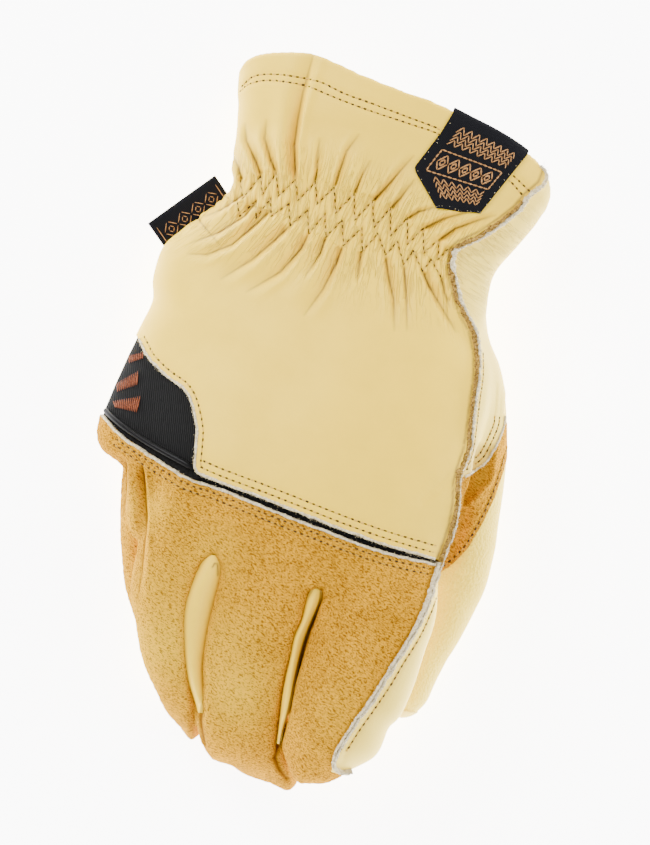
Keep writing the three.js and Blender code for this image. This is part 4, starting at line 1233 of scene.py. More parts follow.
# Fibres: light, dark and the clumps' scale
blackFelt = feltMaterial("black_felt", (0.012, 0.012, 0.012), (0.002, 0.002, 0.002))
rawEdge = feltMaterial("raw_edge", (0.86, 0.76, 0.5), (0.42, 0.33, 0.18), 1300.0)
tanEdge = feltMaterial("tan_edge", (0.5, 0.3, 0.06), (0.06, 0.032, 0.008), 1300.0)
fleece = feltMaterial("fleece", (0.8, 0.72, 0.55), (0.5, 0.4, 0.25), 700.0)
bronzeThread = feltMaterial("bronze_thread", (0.5, 0.26, 0.1), (0.22, 0.1, 0.035), 2200.0, 0.6)
copperThread = feltMaterial("copper_thread", (0.3, 0.085, 0.035), (0.1, 0.025, 0.01), 2000.0, 0.6)
# Cord, threads, and the dark marks painted as shade in the needle holes: colour and roughness
pipingGloss = plainMaterial("piping_gloss", (0.004, 0.004, 0.004), 0.34, 0.08)
threadCream = plainMaterial("thread_cream", (0.74, 0.46, 0.06), 0.6)
threadTan = plainMaterial("thread_tan", (0.56, 0.31, 0.035), 0.7)
holeShade = plainMaterial("hole_shade", (0.06, 0.036, 0.01), 0.9)
print("materials made")

# How far each panel's leather lies below the skin
panels = [
    {"name": "back_panel", "material": creamLeather, "slot": "cream_leather", "sink": 0.0},
    {"name": "side_insert", "material": ribbedFabric, "slot": "ribbed_fabric", "sink": 0.8},
    {"name": "knuckle_stripe", "material": blackFelt, "slot": "stripe_felt", "sink": 0.9},
    {"name": "finger_back_panel", "material": goldenSuede, "slot": "golden_suede", "sink": 0.0},
    {"name": "index_side_panel", "material": paleLeather, "slot": "pale_leather", "sink": 0.1},
    {"name": "fourchette_middle_index", "material": creamLeather, "slot": "cream_leather", "sink": 0.3},
    {"name": "fourchette_ring_middle", "material": creamLeather, "slot": "cream_leather", "sink": 0.3},
    {"name": "fourchette_little_ring", "material": creamLeather, "slot": "cream_leather", "sink": 0.3},
    {"name": "thumb", "material": pebbledLeather, "slot": "pebbled_leather", "sink": 0.4},
    {"name": "thumb_patch", "material": goldenSuede, "slot": "golden_suede", "sink": 0.2},
    # The palm is cream leather; the pale leather on it is painted light for its side-facing surfaces
    {"name": "palm_panel", "material": paleLeather, "slot": "cream_leather", "sink": 0.0},
]
panelTriangles = 190000
skinNormals = normalsOf(surface["points"], surface["triangles"])
for panel in panels:
    # The palm takes what no zone has taken
    numbers = [n for n, (name, _) in enumerate(panelOrder, 1) if name == panel["name"]] or [0]
    triangles = surface["triangles"][np.isin(surface["labels"], numbers)]
    used, local = np.unique(triangles, return_inverse=True)
    sunk = skinNormals[used] * panel["sink"]
    points, faces = closedShell(
        surface["points"][used] - sunk, surface["carried"]["inner"][used] - sunk / 2, local.reshape(-1, 3))
    mesh = newMesh(panel["name"], points, faces.tolist())
    for key in ("paintedShade", "wrinkled", "flow_across", "flow_along", "pale"):
        setAttribute(mesh, key, np.tile(surface["carried"][key][used], 2))
    piece = newPiece(panel["name"] + "_leather", mesh, panel["material"], (panel["name"],))
    if len(faces) > panelTriangles:
        lighter = piece.modifiers.new("lighter", "DECIMATE")
        lighter.ratio = panelTriangles / len(faces)
    print("panel", panel["name"], len(faces), "triangles")


# Points evenly spaced along a plan line, on a smooth curve through its points
def evenly(line, step):
    keys = lambda points: np.concatenate(([0], np.cumsum(np.linalg.norm(np.diff(points, axis=0), axis=1))))
    fine = tableAt(np.column_stack((keys(line), line)), np.linspace(0, keys(line)[-1], 40 * len(line)))
    gone = keys(fine)
    even = np.linspace(0, gone[-1], max(int(round(gone[-1] / step)), 2) + 1)
    return np.stack([np.interp(even, gone, fine[:, axis]) for axis in range(line.shape[1])], -1)


# Where the camera's ray through each plan point meets the skin, or the nearest point of the skin; a point with
# three numbers is taken to the nearest point of the skin
def onSkin(points, tree=skinTree):
    eye = Vector(cameraPlace - tableOrigin)
    hits = []
    for point in points:
        if len(point) == 2:
            ahead = (Vector((*point, seenHeight)) - eye).normalized()
            hit = tree.ray_cast(eye, ahead)
            hits.append((hit if hit[0] else tree.find_nearest(Vector((*point, seenHeight)))) + (bool(hit[0]),))
        else:
            hits.append(tree.find_nearest(Vector(point)) + (True,))
    return np.array([hit[0] for hit in hits]), np.array([hit[1] for hit in hits]), np.array([hit[4] for hit in hits])


# Averages rows of points with their neighbours along the row, by a few rounds
def eased(values, rounds):
    for _ in range(rounds):
        padded = np.concatenate((values[:1], values, values[-1:]))
        values = (padded[:-2] + 2 * padded[1:-1] + padded[2:]) / 4
    return values


# A path on the skin: its points, the directions along it, to its left and out of the skin, and where it's met
def skinPath(line, step, rounds=3):
    points, normals, met = onSkin(evenly(np.asarray(line, float), step))
    points = eased(points, rounds)
    along = unit(np.gradient(points, axis=0))
    left = unit(np.cross(eased(normals, rounds + 4), along))
    return {"points": points, "along": along, "left": left, "up": np.cross(along, left), "met": met}


# A profile carried along a path: sideways and upwards distances for each step of the path
def carriedAlong(path, sideways, upwards):
    return (
        path["points"][:, None, :]
        + path["left"][:, None, :] * sideways[..., None]
        + path["up"][:, None, :] * upwards[..., None]
    )


# Random values along a path, smooth over a few steps
def wander(count, rounds, amount):
    values = eased(random.normal(0, 1, (count, 1)), rounds)
    return values / np.std(values) * amount


# A strip with a half round top and an uneven, fibrous surface. Width and height may change along it.
stripShape = {"sides": 12, "widthChange": 0.1, "heightChange": 0.08, "sway": 0.08, "square": 0.7, "flat": 0.6}


def roughStrip(path, width, height, offset=0.0, fuzz=0.07, sunk=0.5):
    count = len(path["points"])
    angle = np.linspace(0, 2 * np.pi, stripShape["sides"], endpoint=False)
    width = np.broadcast_to(width, count)[:, None] * (1 + wander(count, 5, stripShape["widthChange"]))
    height = np.broadcast_to(height, count)[:, None] * (1 + wander(count, 5, stripShape["heightChange"]))
    centre = np.broadcast_to(offset, count)[:, None] + wander(count, 8, stripShape["sway"])
    sideways = centre + width / 2 * np.sign(np.cos(angle)) * np.abs(np.cos(angle)) ** stripShape["square"]
    upwards = np.where(np.sin(angle) > 0, height * np.abs(np.sin(angle)) ** stripShape["flat"], -sunk)
    sideways = sideways + random.normal(0, fuzz, sideways.shape)
    upwards = upwards + random.normal(0, fuzz, upwards.shape) * (np.sin(angle) > 0.2)
    return carriedAlong(path, sideways, upwards)


def tubesMesh(name, tubes):
    return newMesh(name, *joinedTubes(tubes))


# Many copies of a small shape, each with its own place, directions and sizes
def copiesMesh(name, shapePoints, shapeFaces, places, axes, sizes):
    moved = np.einsum("nk,mk,mkc->mnc", shapePoints, sizes, axes) + places[:, None, :]
    count = len(shapePoints)
    faces = [[i + count * m for i in face] for m in range(len(places)) for face in shapeFaces]
    return newMesh(name, moved.reshape(-1, 3), faces)


# A capsule along X with six sides: rings at the given places and radii, closed by a point at each end
def capsuleShape(stations, radii):
    angle = np.arange(6) * np.pi / 3
    rings = np.array([[(x, r * math.cos(a), r * math.sin(a)) for a in angle] for x, r in zip(stations, radii)])
    points, quads, fans = closedTube(rings)
    points[-2], points[-1] = (-1, 0, 0), (1, 0, 0)
    return points, quads.tolist() + fans.tolist()


threadShape = capsuleShape((-0.8, -0.3, 0.3, 0.8), (0.6, 1.0, 1.0, 0.6))
holeShape = capsuleShape((-0.6, 0.6), (0.9, 0.9))
fibrePoints = np.array([(0, -1, -0.6), (0, 1, -0.6), (0, 0, 1), (1, 0, 0)], float)
fibreShape = (fibrePoints, [(0, 1, 3), (1, 2, 3), (2, 0, 3), (0, 2, 1)])


# Directions and places for stitches on rows of lines: one at each step, with its length along the row. Those under
# the cuff's label, on the floor and on steep walls are left out.
stitchLimits = {"label": -0.3, "height": 1.5, "facing": 0.2}


def stitchPlaces(rows, pitch, offset, lift):
    places, axes = [], []
    for row in rows:
        path = skinPath(row, pitch / 4, 2)
        pick = np.arange(offset, len(path["points"]) - 1, 4)
        points, up = path["points"][pick], path["up"][pick]
        keep = (insideOutline(seenPlan(points), hexOutline) < stitchLimits["label"]) & path["met"][pick]
        keep &= (points[:, 2] > stitchLimits["height"]) & (np.abs(up[:, 2]) > stitchLimits["facing"])
        places.append((points + up * lift)[keep])
        axes.append(np.stack((path["along"][pick], path["left"][pick], up), 1)[keep])
    return np.concatenate(places), np.concatenate(axes)


# A stitch: its pitch, and the half length, half width and half height of its thread and of its needle hole, a dark
# mark that is painted shade
leatherStitch = {"pitch": 2.3, "thread": (0.62, 0.25, 0.18), "hole": (0.6, 0.34, 0.12)}
hemStitch = {**leatherStitch, "pitch": 2.2}
wristStitch = {"pitch": 2.2, "thread": (0.6, 0.2, 0.14), "hole": (0.72, 0.28, 0.12)}


def addStitches(name, rows, material, stitch=leatherStitch):
    for label, shape, size, start, finish, lift in (
        ("thread", threadShape, stitch["thread"], 2, material, 0.08),
        ("holes", holeShape, stitch["hole"], 0, holeShade, 0.02),
    ):
        places, axes = stitchPlaces(rows, stitch["pitch"], start, lift)
        sizes = np.array(size) * random.uniform(0.85, 1.15, (len(places), 3))
        axes = axes + random.normal(0, 0.05, axes.shape)
        mesh = copiesMesh(name + "_" + label, *shape, places, axes, sizes)
        newPiece(name + "_" + label, mesh, finish)


# Short fibres that stand out of a strip along a path, leaning every way
def addFibres(name, paths, material, spread, length, perStep, lift=0.3):
    places, axes = [], []
    for path, offset in paths:
        pick = np.repeat(np.arange(len(path["points"])), perStep)
        along, left, up = (path[key][pick] for key in ("along", "left", "up"))
        across = random.normal(0, 1, (len(pick), 1))
        places.append(path["points"][pick] + left * (offset + across * spread) + up * lift)
        ahead = left * random.normal(0, 1, (len(pick), 1)) + along * random.normal(0, 0.8, (len(pick), 1))
        ahead = unit(ahead + up * random.uniform(0.1, 1.0, (len(pick), 1)))
        side = unit(np.cross(ahead, along + 0.01))
        axes.append(np.stack((ahead, side, np.cross(ahead, side)), 1))
    places, axes = np.concatenate(places), np.concatenate(axes)
    sizes = random.uniform(0.5, 1.2, (len(places), 1)) * np.array([length, 0.07, 0.07])
    newPiece(name, copiesMesh(name, *fibreShape, places, axes, sizes), material)


# Raw edges of the cream and suede leather along the stripe, the ribbed insert and the thumb's patch
cutEdges = {
    "cream": {
        "line": np.concatenate((insertEdge[2:-1], stripeUpper[7:-1])), "strip": (0.85, 0.55, 0.1), "fringe": -0.2,
    },
    "suede": {
        "line": np.concatenate(([[-69.2, -14.0]], stripeLower[2:-1])), "strip": (0.85, 0.5, -0.15), "fringe": 0.15,
    },
    "patch": {"line": patchUpper[1:-1], "strip": (0.9, 0.6, -0.1), "fringe": -0.3},
}
edgePaths = {name: skinPath(edge["line"], 0.35) for name, edge in cutEdges.items()}
strips = [roughStrip(edgePaths[name], *edge["strip"]) for name, edge in cutEdges.items()]
newPiece("cut_edges", tubesMesh("cut_edges", strips), rawEdge)
fringed = [(edgePaths[name], edge["fringe"]) for name, edge in cutEdges.items()]
addFibres("edge_fibres", fringed, rawEdge, 0.25, 0.55, 3)
stripeLow = np.interp(stripeUpper[7:-1, 0], stripeLower[:, 0], stripeLower[:, 1])
stripePath = skinPath((stripeUpper[7:-1] + np.column_stack((stripeUpper[7:-1, 0], stripeLow))) / 2, 0.3)
addFibres("stripe_fibres", [(stripePath, 0.0)], blackFelt, 0.45, 0.75, 8, -0.3)

# The seam on the thumb side: two raw layers stand up from it, tan on the back's side and pale on the other. Below
# the stripe a second pale layer takes the tan one's place. Widths are given at places along the glove.
welt = {
    "start": [[46.6, 104.6], [48.9, 103.4], [49.9, 101.8], [49.6, 99.9], [46.1, 95.3]],
    "end": [[36.4, -104.0], [38.0, -105.2], [40.4, -104.7], [42.4, -103.6]],
    "tanPlaces": [-30, 8, 40, 56, 92], "tanWidths": [0.7, 0.75, 0.8, 0.65, 0.5], "tanHeight": 1.45,
    "palePlaces": [-104, -100, -40, -28, 8, 40, 56, 92, 105],
    "paleWidths": [0.7, 0.9, 0.85, 0.9, 0.9, 1.15, 1.5, 1.6, 0.8],
    "endPlaces": [94, 104], "endHeights": [1.6, 0.8], "secondWidth": 0.75, "secondHeight": 1.4, "secondOffset": -0.38,
    "fuzz": 0.13, "sunk": 0.9,
}
weltPath = skinPath(np.concatenate((welt["start"], seamLine[3:], welt["end"])), 0.3, 14)
weltPlace = seenPlan(weltPath["points"])[:, 1]
partOf = lambda path, mask: {key: value[mask] for key, value in path.items()}
upper = (weltPlace > -32) & (weltPlace < 92)
tanPath, secondPath = partOf(weltPath, upper), partOf(weltPath, weltPlace < -30)
tanWidth = np.interp(weltPlace, welt["tanPlaces"], welt["tanWidths"])[upper]
paleWidth = np.interp(weltPlace, welt["palePlaces"], welt["paleWidths"])
paleHeight = np.interp(weltPlace, welt["endPlaces"], welt["endHeights"])
roughness = welt["fuzz"], welt["sunk"]
tanLayer = roughStrip(tanPath, tanWidth, welt["tanHeight"], -tanWidth / 2, *roughness)
paleLayers = [
    roughStrip(weltPath, paleWidth, paleHeight, paleWidth / 2, *roughness),
    roughStrip(secondPath, welt["secondWidth"], welt["secondHeight"], welt["secondOffset"], *roughness),
]
newPiece("seam_tan_layer", tubesMesh("seam_tan_layer", [tanLayer]), tanEdge)
newPiece("seam_pale_layer", tubesMesh("seam_pale_layer", paleLayers), rawEdge, ("seam_welt",))
addFibres("seam_fibres", [(weltPath, 0.6)], rawEdge, 0.6, 0.55, 4, 1.1)
addFibres("seam_tan_fibres", [(tanPath, -0.6)], tanEdge, 0.25, 0.35, 3, 1.1)

# The glossy cord under the ribbed insert, which runs out at its lower end
piping = {
    "line": [[-68.6, -12.0], [-67.0, -13.2], [-62.2, -15.5], [-54.7, -18.0], [-46.2, -20.2], [-37.3, -22.2],
             [-34.4, -23.4]],
    "radius": 0.95, "runOut": 12, "left": 0.15, "up": 0.1, "sides": 14,
}
cordPath = skinPath(piping["line"], 0.5, 6)
runOut = np.minimum(1, np.linspace(0, piping["runOut"], len(cordPath["points"]))[::-1])
radius = piping["radius"] * runOut[:, None]
angle = np.linspace(0, 2 * np.pi, piping["sides"], endpoint=False)
cord = carriedAlong(cordPath, piping["left"] + radius * np.cos(angle), piping["up"] + radius * np.sin(angle))
newPiece("piping_cord", tubesMesh("piping_cord", [cord]), pipingGloss, ("piping",))
print("edges, seam and piping made")

# Stitches: the hem, beside the cut edges, the zigzags over the elastic, the index strip and the patch
creamRows = stitchRows(stripeUpper[7:-1], "cream") + stitchRows(insertEdge[2:], "insert")
wristRows = [np.stack((start, end)) for row in zigzags for start, end in zip(row[:-1], row[1:])]
sideRows = stitchRows(seamLine[23:-1], "index") + stitchRows(seamLine[12:18], "side")
patchRows = stitchRows(patchUpper[1:-1], "patch") + stitchRows(patchLower[:-1], "patchLow")
addStitches("hem_stitches", hemRows, threadCream, hemStitch)
addStitches("back_stitches", creamRows, threadCream)
addStitches("suede_stitches", stitchRows(stripeLower[3:-1], "suede"), threadTan)
addStitches("wrist_stitches", wristRows, threadCream, wristStitch)
addStitches("side_stitches", sideRows, threadCream)
addStitches("patch_stitches", patchRows, threadTan)
print("stitches made")


# A smooth sheet through a grid of points, closed into a thin slab by copies of its points above and below
def slabMesh(name, grid, normals, above, below):
    rows, columns = grid.shape[:2]
    i, k = np.meshgrid(np.arange(rows - 1), np.arange(columns - 1), indexing="ij")
    a = i * columns + k
    quads = np.stack((a, a + 1, a + columns + 1, a + columns), -1).reshape(-1, 4)
    total = rows * columns
    rim = np.concatenate((
        np.arange(columns), np.arange(2, rows + 1) * columns - 1, np.arange(total - 2, total - columns - 1, -1),
        np.arange(rows - 2, 0, -1) * columns,
    ))
    following = np.roll(rim, -1)
    sides = np.stack((rim, rim + total, following + total, following), -1)
    points = np.concatenate(((grid + normals * above).reshape(-1, 3), (grid - normals * below).reshape(-1, 3)))
    return newMesh(name, points, np.concatenate((quads, quads[:, ::-1] + total, sides)).tolist())


def gridNormals(grid):
    return unit(np.cross(np.gradient(grid, axis=1), np.gradient(grid, axis=0)))


# What a grid holds at a share of its rows and a share of its columns
def gridAt(grid, row, column):
    rows, columns = grid.shape[:2]
    r = np.clip(row * (rows - 1), 0, rows - 1.001)
    c = np.clip(column * (columns - 1), 0, columns - 1.001)
    i, k = r.astype(int), c.astype(int)
    r, c = (r - i)[..., None], (c - k)[..., None]
    near = grid[i, k] * (1 - c) + grid[i, k + 1] * c
    return near * (1 - r) + (grid[i + 1, k] * (1 - c) + grid[i + 1, k + 1] * c) * r


# Raised bars of thread between pairs of points, by their half width and height
def addBars(name, start, end, up, halfWidth, height, material):
    half = np.linalg.norm(end - start, axis=1) / 2
    ahead = unit(end - start)
    side = np.cross(unit(up), ahead)
    axes = np.stack((ahead, side, np.cross(ahead, side)), 1)
    sizes = np.column_stack((half, np.full(len(start), halfWidth), np.full(len(start), height)))
    newPiece(name, copiesMesh(name, *threadShape, (start + end) / 2, axes, sizes), material)


def addGridBars(name, grid, bars, halfWidth, height, material, lift=0.3):
    bars = np.asarray(bars, float)
    start, end = gridAt(grid, bars[:, 0], bars[:, 1]), gridAt(grid, bars[:, 2], bars[:, 3])
    up = gridAt(gridNormals(grid), (bars[:, 0] + bars[:, 2]) / 2, (bars[:, 1] + bars[:, 3]) / 2)
    addBars(name, start + lift * up, end + lift * up, up, halfWidth, height, material)


# Lines of a pattern as bars: a zigzag between two rows of a grid, and a diamond
def zigzagBars(low, high, left, right, count):
    columns = np.linspace(left, right, count + 1)
    rows = np.where(np.arange(count + 1) % 2 == 0, low, high)
    return list(zip(rows[:-1], columns[:-1], rows[1:], columns[1:]))


def diamondBars(row, column, tall, wide):
    corners = [(row + tall, column), (row, column + wide), (row - tall, column), (row, column - wide)]
    return [(*corners[k], *corners[(k + 1) % 4]) for k in range(4)]


# Between the fingers the side strips bulge up through the slots: a sheet from one edge of the slot to the other,
# arched between them and sunk below the suede by its own depth at each edge. It reaches past both edges, its ends
# are let down, and its far side is darkened with painted shade by its shade value; its near side under the lip and a
# hook at the first slot's end get painted shade too.
slotRolls = {
    "ring_middle": {"sides": slotOneSides, "sunk": (0.8, 1.8), "arch": 1.6, "reach": (-0.14, 1.2), "shade": 0.4},
    "middle_index": {"sides": slotTwoSides, "sunk": (0.7, 1.2), "arch": 1.5, "reach": (-0.25, 1.4), "shade": 0.85},
}
rollShape = {
    "steps": 90, "columns": 26, "beside": 1.5, "above": [0.0, 1.2], "below": [0.3, -1.5], "easing": 30, "ends": 0.14,
    "peak": 0.8, "fall": 6.0, "over": 0.2, "under": 1.2, "dark": (0.92, 1.06), "nearDark": 0.4, "nearEnd": 0.12,
    "crescentTone": 0.9, "crescentWidth": 0.3,
}
rollSteps = np.linspace(0, 1, rollShape["steps"])


# A slot's edge as points on the skin a little outside of the slot, at even shares of its length
def slotEdge(side, shift):
    above, below = np.array([rollShape["above"]]), np.array([rollShape["below"]])
    longer = np.concatenate((side[:1] + above, side[1:], side[-1:] + below))
    path = onSkin(evenly(longer + np.array([shift, 0]), 0.5), plainTree)[0]
    places = np.linspace(0, 1, len(path))
    edge = np.stack([np.interp(rollSteps, places, path[:, axis]) for axis in range(3)], -1)
    return eased(edge, rollShape["easing"]) - np.array([shift, 0, 0])


for label, roll in slotRolls.items():
    left, right = (slotEdge(side, sign * rollShape["beside"]) for side, sign in zip(roll["sides"], (-1, 1)))
    across = np.linspace(*roll["reach"], rollShape["columns"])[None, :, None]
    middle = np.clip(across, 0, 1)
    ends = smoothStep(np.minimum(rollSteps, 1 - rollSteps), 0, rollShape["ends"])[:, None, None]
    sunk = roll["sunk"][0] + (roll["sunk"][1] - roll["sunk"][0]) * middle ** 2
    arch = roll["arch"] * np.sin(np.pi * middle ** rollShape["peak"]) - rollShape["fall"] * np.abs(across - middle)
    grid = left[:, None] + (right - left)[:, None] * across + np.array([0, 0, 1]) * (arch * ends - sunk)
    grid = grid[::-1]
    name = "fourchette_roll_" + label
    mesh = slabMesh(name, grid, gridNormals(grid), rollShape["over"], rollShape["under"])
    column = across[..., 0]
    # Painted shade: dark on the far side, under the lip on the near side, and along the hook at the first slot's end
    dark = roll["shade"] * smoothStep(column, *rollShape["dark"])
    dark = dark + rollShape["nearDark"] * (1 - smoothStep(column, 0.0, rollShape["nearEnd"]))
    gap = lineDistance(seenPlan(grid.reshape(-1, 3)), slotCrescent)[0]
    crescent = rollShape["crescentTone"] * bell(gap, rollShape["crescentWidth"])
    tone = np.maximum(np.broadcast_to(dark, grid.shape[:2]).ravel(), crescent)
    setAttribute(mesh, "paintedShade", np.tile(tone, 2))
    newPiece(name, mesh, creamLeather)

# The woven label: its shape on the cuff, then over the hem's edge and a little way inside. Its left edge has two
# corners and its right edge is straight; rows run up to the hem and columns across.
hexLabel = {
    "rows": 44, "columns": 52, "lift": 0.45, "inside": 8.0, "backRows": 8, "turnRows": 12, "rim": 1.1, "ahead": 0.5,
    "radius": 1.55, "over": 0.25, "under": 0.2, "topLeft": [14.6, 115.2], "topRight": [42.6, 108.3],
    "left": [[18.5, 81.5], [7.0, 92.5], [12.6, 106.9]], "leftShares": [0, 0.34, 0.8, 1], "low": [32.4, 84.0],
}
mouthAngles = np.linspace(0, np.pi, 721)
mouthPlan = seenPlan(handPoints(np.full(len(mouthAngles), cuffEnd), mouthAngles))
endAngles = [
    mouthAngles[np.argmin(np.linalg.norm(mouthPlan - hexLabel[corner], axis=1))] for corner in ("topLeft", "topRight")
]
topAngles = np.linspace(*endAngles, hexLabel["columns"])
mouthEdge = handPoints(np.full(len(topAngles), cuffEnd), topAngles)
mouthAhead = unit(handPoints(np.full(len(topAngles), cuffEnd + 1), topAngles) - mouthEdge)
mouthOut = unit(np.cross(np.gradient(mouthEdge, axis=0), mouthAhead))
topPlan = seenPlan(mouthEdge)
share = np.linspace(0, 0.95, hexLabel["rows"])[:, None, None]
columnShare = np.linspace(0, 1, hexLabel["columns"])[None, :, None]
leftCorners = np.array(hexLabel["left"] + [topPlan[0]])
leftEdge = np.stack([
    np.interp(share[:, 0, 0], hexLabel["leftShares"], leftCorners[:, axis]) for axis in range(2)
], -1)[:, None]
lowCorner = np.array(hexLabel["low"])
rightEdge = lowCorner + share * (topPlan[-1] - lowCorner)
bowed = topPlan - (topPlan[0] + columnShare[0] * (topPlan[-1] - topPlan[0]))
labelPlan = leftEdge + (rightEdge - leftEdge) * columnShare + share**3 * bowed
labelPoints, labelUp, _ = onSkin(labelPlan.reshape(-1, 2))
onCuff = (labelPoints + labelUp * hexLabel["lift"]).reshape(hexLabel["rows"], hexLabel["columns"], 3)
turn = np.radians(np.linspace(15, 180, hexLabel["turnRows"]))[:, None, None]
centre = mouthEdge - hexLabel["rim"] * mouthOut - hexLabel["ahead"] * mouthAhead
overEdge = centre + hexLabel["radius"] * (mouthOut * np.cos(turn) + mouthAhead * np.sin(turn))
backIn = overEdge[-1] - mouthAhead * np.linspace(1, hexLabel["inside"], hexLabel["backRows"])[:, None, None]
labelGrid = eased(np.concatenate((onCuff, overEdge, backIn)), 3)
labelGrid = np.swapaxes(eased(np.swapaxes(labelGrid, 0, 1), 2), 0, 1)
labelMesh = slabMesh("hex_label_cloth", labelGrid, gridNormals(labelGrid), hexLabel["over"], hexLabel["under"])
newPiece("hex_label_cloth", labelMesh, labelFabric, ("hex_label",))

# Its woven pattern, by shares of the rows and columns that are seen: a frame of dashes round five diamonds,
# zigzags above and below it, and pale specks along three edges
hexPattern = {
    "frameRows": (0.38, 0.66), "frameColumns": (0.14, 0.88), "across": 0.0617, "up": 0.056,
    "diamonds": (0.24, 0.78), "sizes": (0.1, 0.045), "high": (0.73, 0.78, 0.83, 0.88), "low": (0.12, 0.17, 0.22, 0.27),
    "specks": 9,
}
shown = labelGrid[:hexLabel["rows"]]
frameRows, frameColumns = hexPattern["frameRows"], hexPattern["frameColumns"]
frameBars = [(row, low, row, low + hexPattern["across"]) for row in frameRows
             for low in frameColumns[0] + hexPattern["across"] * np.arange(12)]
frameBars += [(low, column, low + hexPattern["up"], column) for column in frameColumns
              for low in frameRows[0] + hexPattern["up"] * np.arange(5)]
frameBars += sum([diamondBars(0.52, column, tall, tall * 0.62) for column in np.linspace(*hexPattern["diamonds"], 5)
                  for tall in hexPattern["sizes"]], [])
rowBars = sum([zigzagBars(low, low + 0.075, 0.14, 0.88, 16) for low in hexPattern["high"]], [])
rowBars += sum([zigzagBars(low, low + 0.07, 0.2, 0.86, 13) for low in hexPattern["low"]], [])
addGridBars("hex_label_frame", shown, frameBars, 0.26, 0.16, bronzeThread)
addGridBars("hex_label_rows", shown, rowBars, 0.21, 0.14, bronzeThread)
spans = ((0.04, 0.9), (0.04, 0.9), (0.08, 0.92))
speckPlace = np.concatenate([np.linspace(*span, hexPattern["specks"]) for span in spans])
speckPlace += random.normal(0, 0.02, len(speckPlace))
speckEdge = np.repeat((0.035, 0.965, 0.03), hexPattern["specks"]) + random.normal(0, 0.008, len(speckPlace))
onSides = np.arange(len(speckPlace)) < 2 * hexPattern["specks"]
speckRows, speckColumns = np.where(onSides, (speckPlace, speckEdge), (speckEdge, speckPlace))
specks = np.column_stack((speckRows, speckColumns, speckRows + 0.008, speckColumns + 0.006))
addGridBars("hex_label_specks", shown, specks, 0.1, 0.1, rawEdge)

# The small folded label that stands out of the side seam: its corners in plan, taken to its own height as the
# camera sees them, and a slight arch
flagLabel = {
    "corners": [[-72.0, 51.0], [-55.1, 72.3], [-62.4, 43.2], [-46.3, 65.0]], "rows": 14, "columns": 26,
    "arch": 0.5, "lean": 0.8, "thick": 0.42, "fold": 0.55, "foldReach": 9,
}
low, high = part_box("flag_label")
flagHeight = (low[2] + high[2]) / 2 * 1000
eye = (cameraPlace - tableOrigin)[:2]
levelShare = (cameraPlace[2] - flagHeight) / (cameraPlace[2] - seenHeight)
outerLow, outerHigh, innerLow, innerHigh = eye + levelShare * (np.array(flagLabel["corners"]) - eye)
rowShare = np.linspace(0, 1, flagLabel["rows"])
across, length = np.meshgrid(rowShare, np.linspace(0, 1, flagLabel["columns"]), indexing="ij")
across, length = across[..., None], length[..., None]
flagPlan = ((1 - across) * ((1 - length) * outerLow + length * outerHigh)
            + across * ((1 - length) * innerLow + length * innerHigh))
flagRise = flagHeight + flagLabel["arch"] * np.sin(np.pi * length) + flagLabel["lean"] * (across - 0.5)
flagGrid = np.concatenate((flagPlan, flagRise), -1)[::-1]
rounding = np.sqrt(np.clip((1 - rowShare) * flagLabel["foldReach"], 0, 1))
edgeShare = np.minimum(1, flagLabel["fold"] + (1 - flagLabel["fold"]) * rounding)[:, None, None]
flagMesh = slabMesh("flag_label_cloth", flagGrid, gridNormals(flagGrid) * edgeShare, *[flagLabel["thick"]] * 2)
newPiece("flag_label_cloth", flagMesh, labelFabric, ("flag_label",))
flagBars = [(0.86, 0.06, 0.86, 0.94), (0.1, 0.06, 0.86, 0.06), (0.1, 0.94, 0.86, 0.94)]
for tall, wide in ((0.24, 0.1), (0.1, 0.04)):
    flagBars += sum([diamondBars(0.5, column, tall, wide) for column in (0.2, 0.4, 0.6, 0.8)], [])
addGridBars("flag_label_pattern", flagGrid, flagBars, 0.2, 0.22, bronzeThread)
print("labels made")

# Three blocks of upright copper threads on the ribbed insert: left and right ends of each block's top and bottom,
# and the number of threads
insertThreads = {
    "sunk": 0.45, "halfWidth": 0.3, "height": 0.2,
    "blocks": [
        ((-66.6, 7.5), (-62.0, 9.9), (-65.8, 4.8), (-61.4, 7.7), 8),
        ((-68.0, -2.5), (-61.9, 3.6), (-66.9, -5.4), (-60.8, -1.2), 11),
        ((-67.6, -8.6), (-58.7, -4.1), (-65.9, -10.4), (-58.5, -10.2), 13),
    ],
}
bottoms, tops = [], []
for topLeft, topRight, lowLeft, lowRight, count in insertThreads["blocks"]:
    share = (np.arange(count) + 0.5)[:, None] / count
    tops.append(np.array(topLeft) + share * (np.array(topRight) - topLeft))
    bottoms.append(np.array(lowLeft) + share * (np.array(lowRight) - lowLeft))
start, startUp, _ = onSkin(np.concatenate(bottoms))
end, endUp, _ = onSkin(np.concatenate(tops))
start, end = start - insertThreads["sunk"] * startUp, end - insertThreads["sunk"] * endUp
addBars("insert_threads", start, end, startUp + endUp, insertThreads["halfWidth"], insertThreads["height"],
        copperThread)

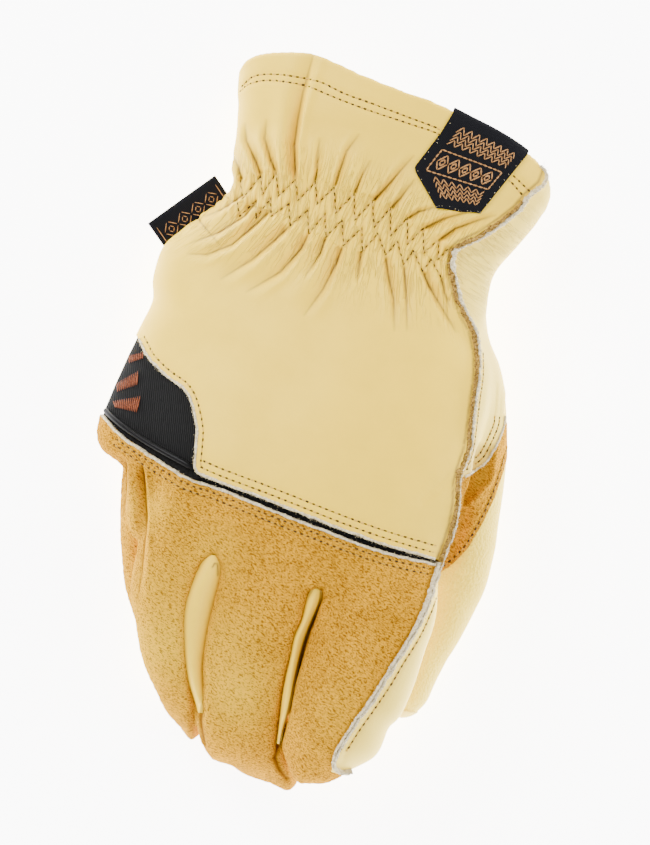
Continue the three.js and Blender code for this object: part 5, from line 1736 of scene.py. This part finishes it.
# A fleece lining inside the hand, seen through the mouth: a tube inside the skin by its depth, given a wall
lining = {"from": 10.0, "to": 95.0, "rings": 60, "sides": 120, "depth": 3.1, "fluff": 0.12, "thickness": 0.8}
rings, sides = lining["rings"], lining["sides"]
places = np.linspace(lining["from"], lining["to"], rings)[:, None]
angles = np.linspace(0, 2 * np.pi, sides, endpoint=False)[None, :]
outer = handPoints(places, angles)
around = np.roll(outer, -1, axis=1) - np.roll(outer, 1, axis=1)
outwards = unit(np.cross(np.gradient(outer, axis=0), around))
liningGrid = outer - outwards * (lining["depth"] + random.normal(0, lining["fluff"], (rings, sides, 1)))
liningGrid[..., 2] = np.maximum(liningGrid[..., 2], lining["depth"])
i, k = np.meshgrid(np.arange(rings - 1), np.arange(sides), indexing="ij")
a, b = i * sides + k, i * sides + (k + 1) % sides
quads = np.stack((a, a + sides, b + sides, b), -1).reshape(-1, 4)
liningMesh = newMesh("lining_fleece", liningGrid.reshape(-1, 3), quads.tolist())
liningPiece = newPiece("lining_fleece", liningMesh, fleece)
liningWall = liningPiece.modifiers.new("wall", "SOLIDIFY")
liningWall.thickness = lining["thickness"] / 1000
liningWall.offset = -1

# Hem stitches on the under side, at two distances from the cuff's end
underAngles = np.radians(np.linspace(-8, -172, 60))
underRows = [handPoints(np.full(len(underAngles), cuffEnd - down), underAngles) for down in (5.2, 6.8)]
addStitches("hem_under_stitches", underRows, threadCream, hemStitch)
print("lining and under stitches made")

# Camera, floor and light
view = {"turn": 16, "sensor": 36, "lens": 190.4, "near": 0.05, "far": 10}
cameraData = bpy.data.cameras.new("camera")
camera = newObject("camera", cameraData)
camera.location = Vector((cameraPlace / 1000).tolist())
camera.rotation_euler = (0, 0, math.radians(view["turn"]))
cameraData.sensor_width = view["sensor"]
cameraData.lens = view["lens"]
cameraData.clip_start = view["near"]
cameraData.clip_end = view["far"]
bpy.context.scene.camera = camera

# The floor glows softly and the world is white, as in a light tent; lamps are place, size and power
studio = {
    "floorReach": 3, "floorColour": (0.92, 0.92, 0.92, 1), "floorGlow": 8.0, "world": 0.85,
    "lamps": {
        "key_light": ((-0.75, 0.6, 0.85), 0.45, 23.5),
        "fill_light": ((1.0, 0.1, 0.8), 0.9, 16),
        "finger_light": ((-0.5, -1.0, 0.75), 0.6, 6),
    },
}
reach = studio["floorReach"]
floorMesh = bpy.data.meshes.new("floor")
floorCorners = [(-reach, -reach, 0), (reach, -reach, 0), (reach, reach, 0), (-reach, reach, 0)]
floorMesh.from_pydata(floorCorners, [], [(0, 1, 2, 3)])
floorObject = newObject("floor", floorMesh)
floorMaterial, _, floorShader, _ = newMaterial("floor_white", 0.9)
floorShader.inputs["Base Color"].default_value = studio["floorColour"]
floorShader.inputs["Emission Color"].default_value = (1, 1, 1, 1)
floorShader.inputs["Emission Strength"].default_value = studio["floorGlow"]
floorMesh.materials.append(floorMaterial)
floorObject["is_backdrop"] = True

world = bpy.data.worlds.new("studio")
world.use_nodes = True
background = world.node_tree.nodes["Background"]
background.inputs["Color"].default_value = (1, 1, 1, 1)
background.inputs["Strength"].default_value = studio["world"]
bpy.context.scene.world = world

for name, (place, size, power) in studio["lamps"].items():
    lampData = bpy.data.lights.new(name, "AREA")
    lampData.shape = "SQUARE"
    lampData.size = size
    lampData.energy = power
    lamp = newObject(name, lampData)
    lamp.location = place
    lamp.rotation_euler = (-Vector(place)).to_track_quat("-Z", "Y").to_euler()
print("camera, floor and light set")

low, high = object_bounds()
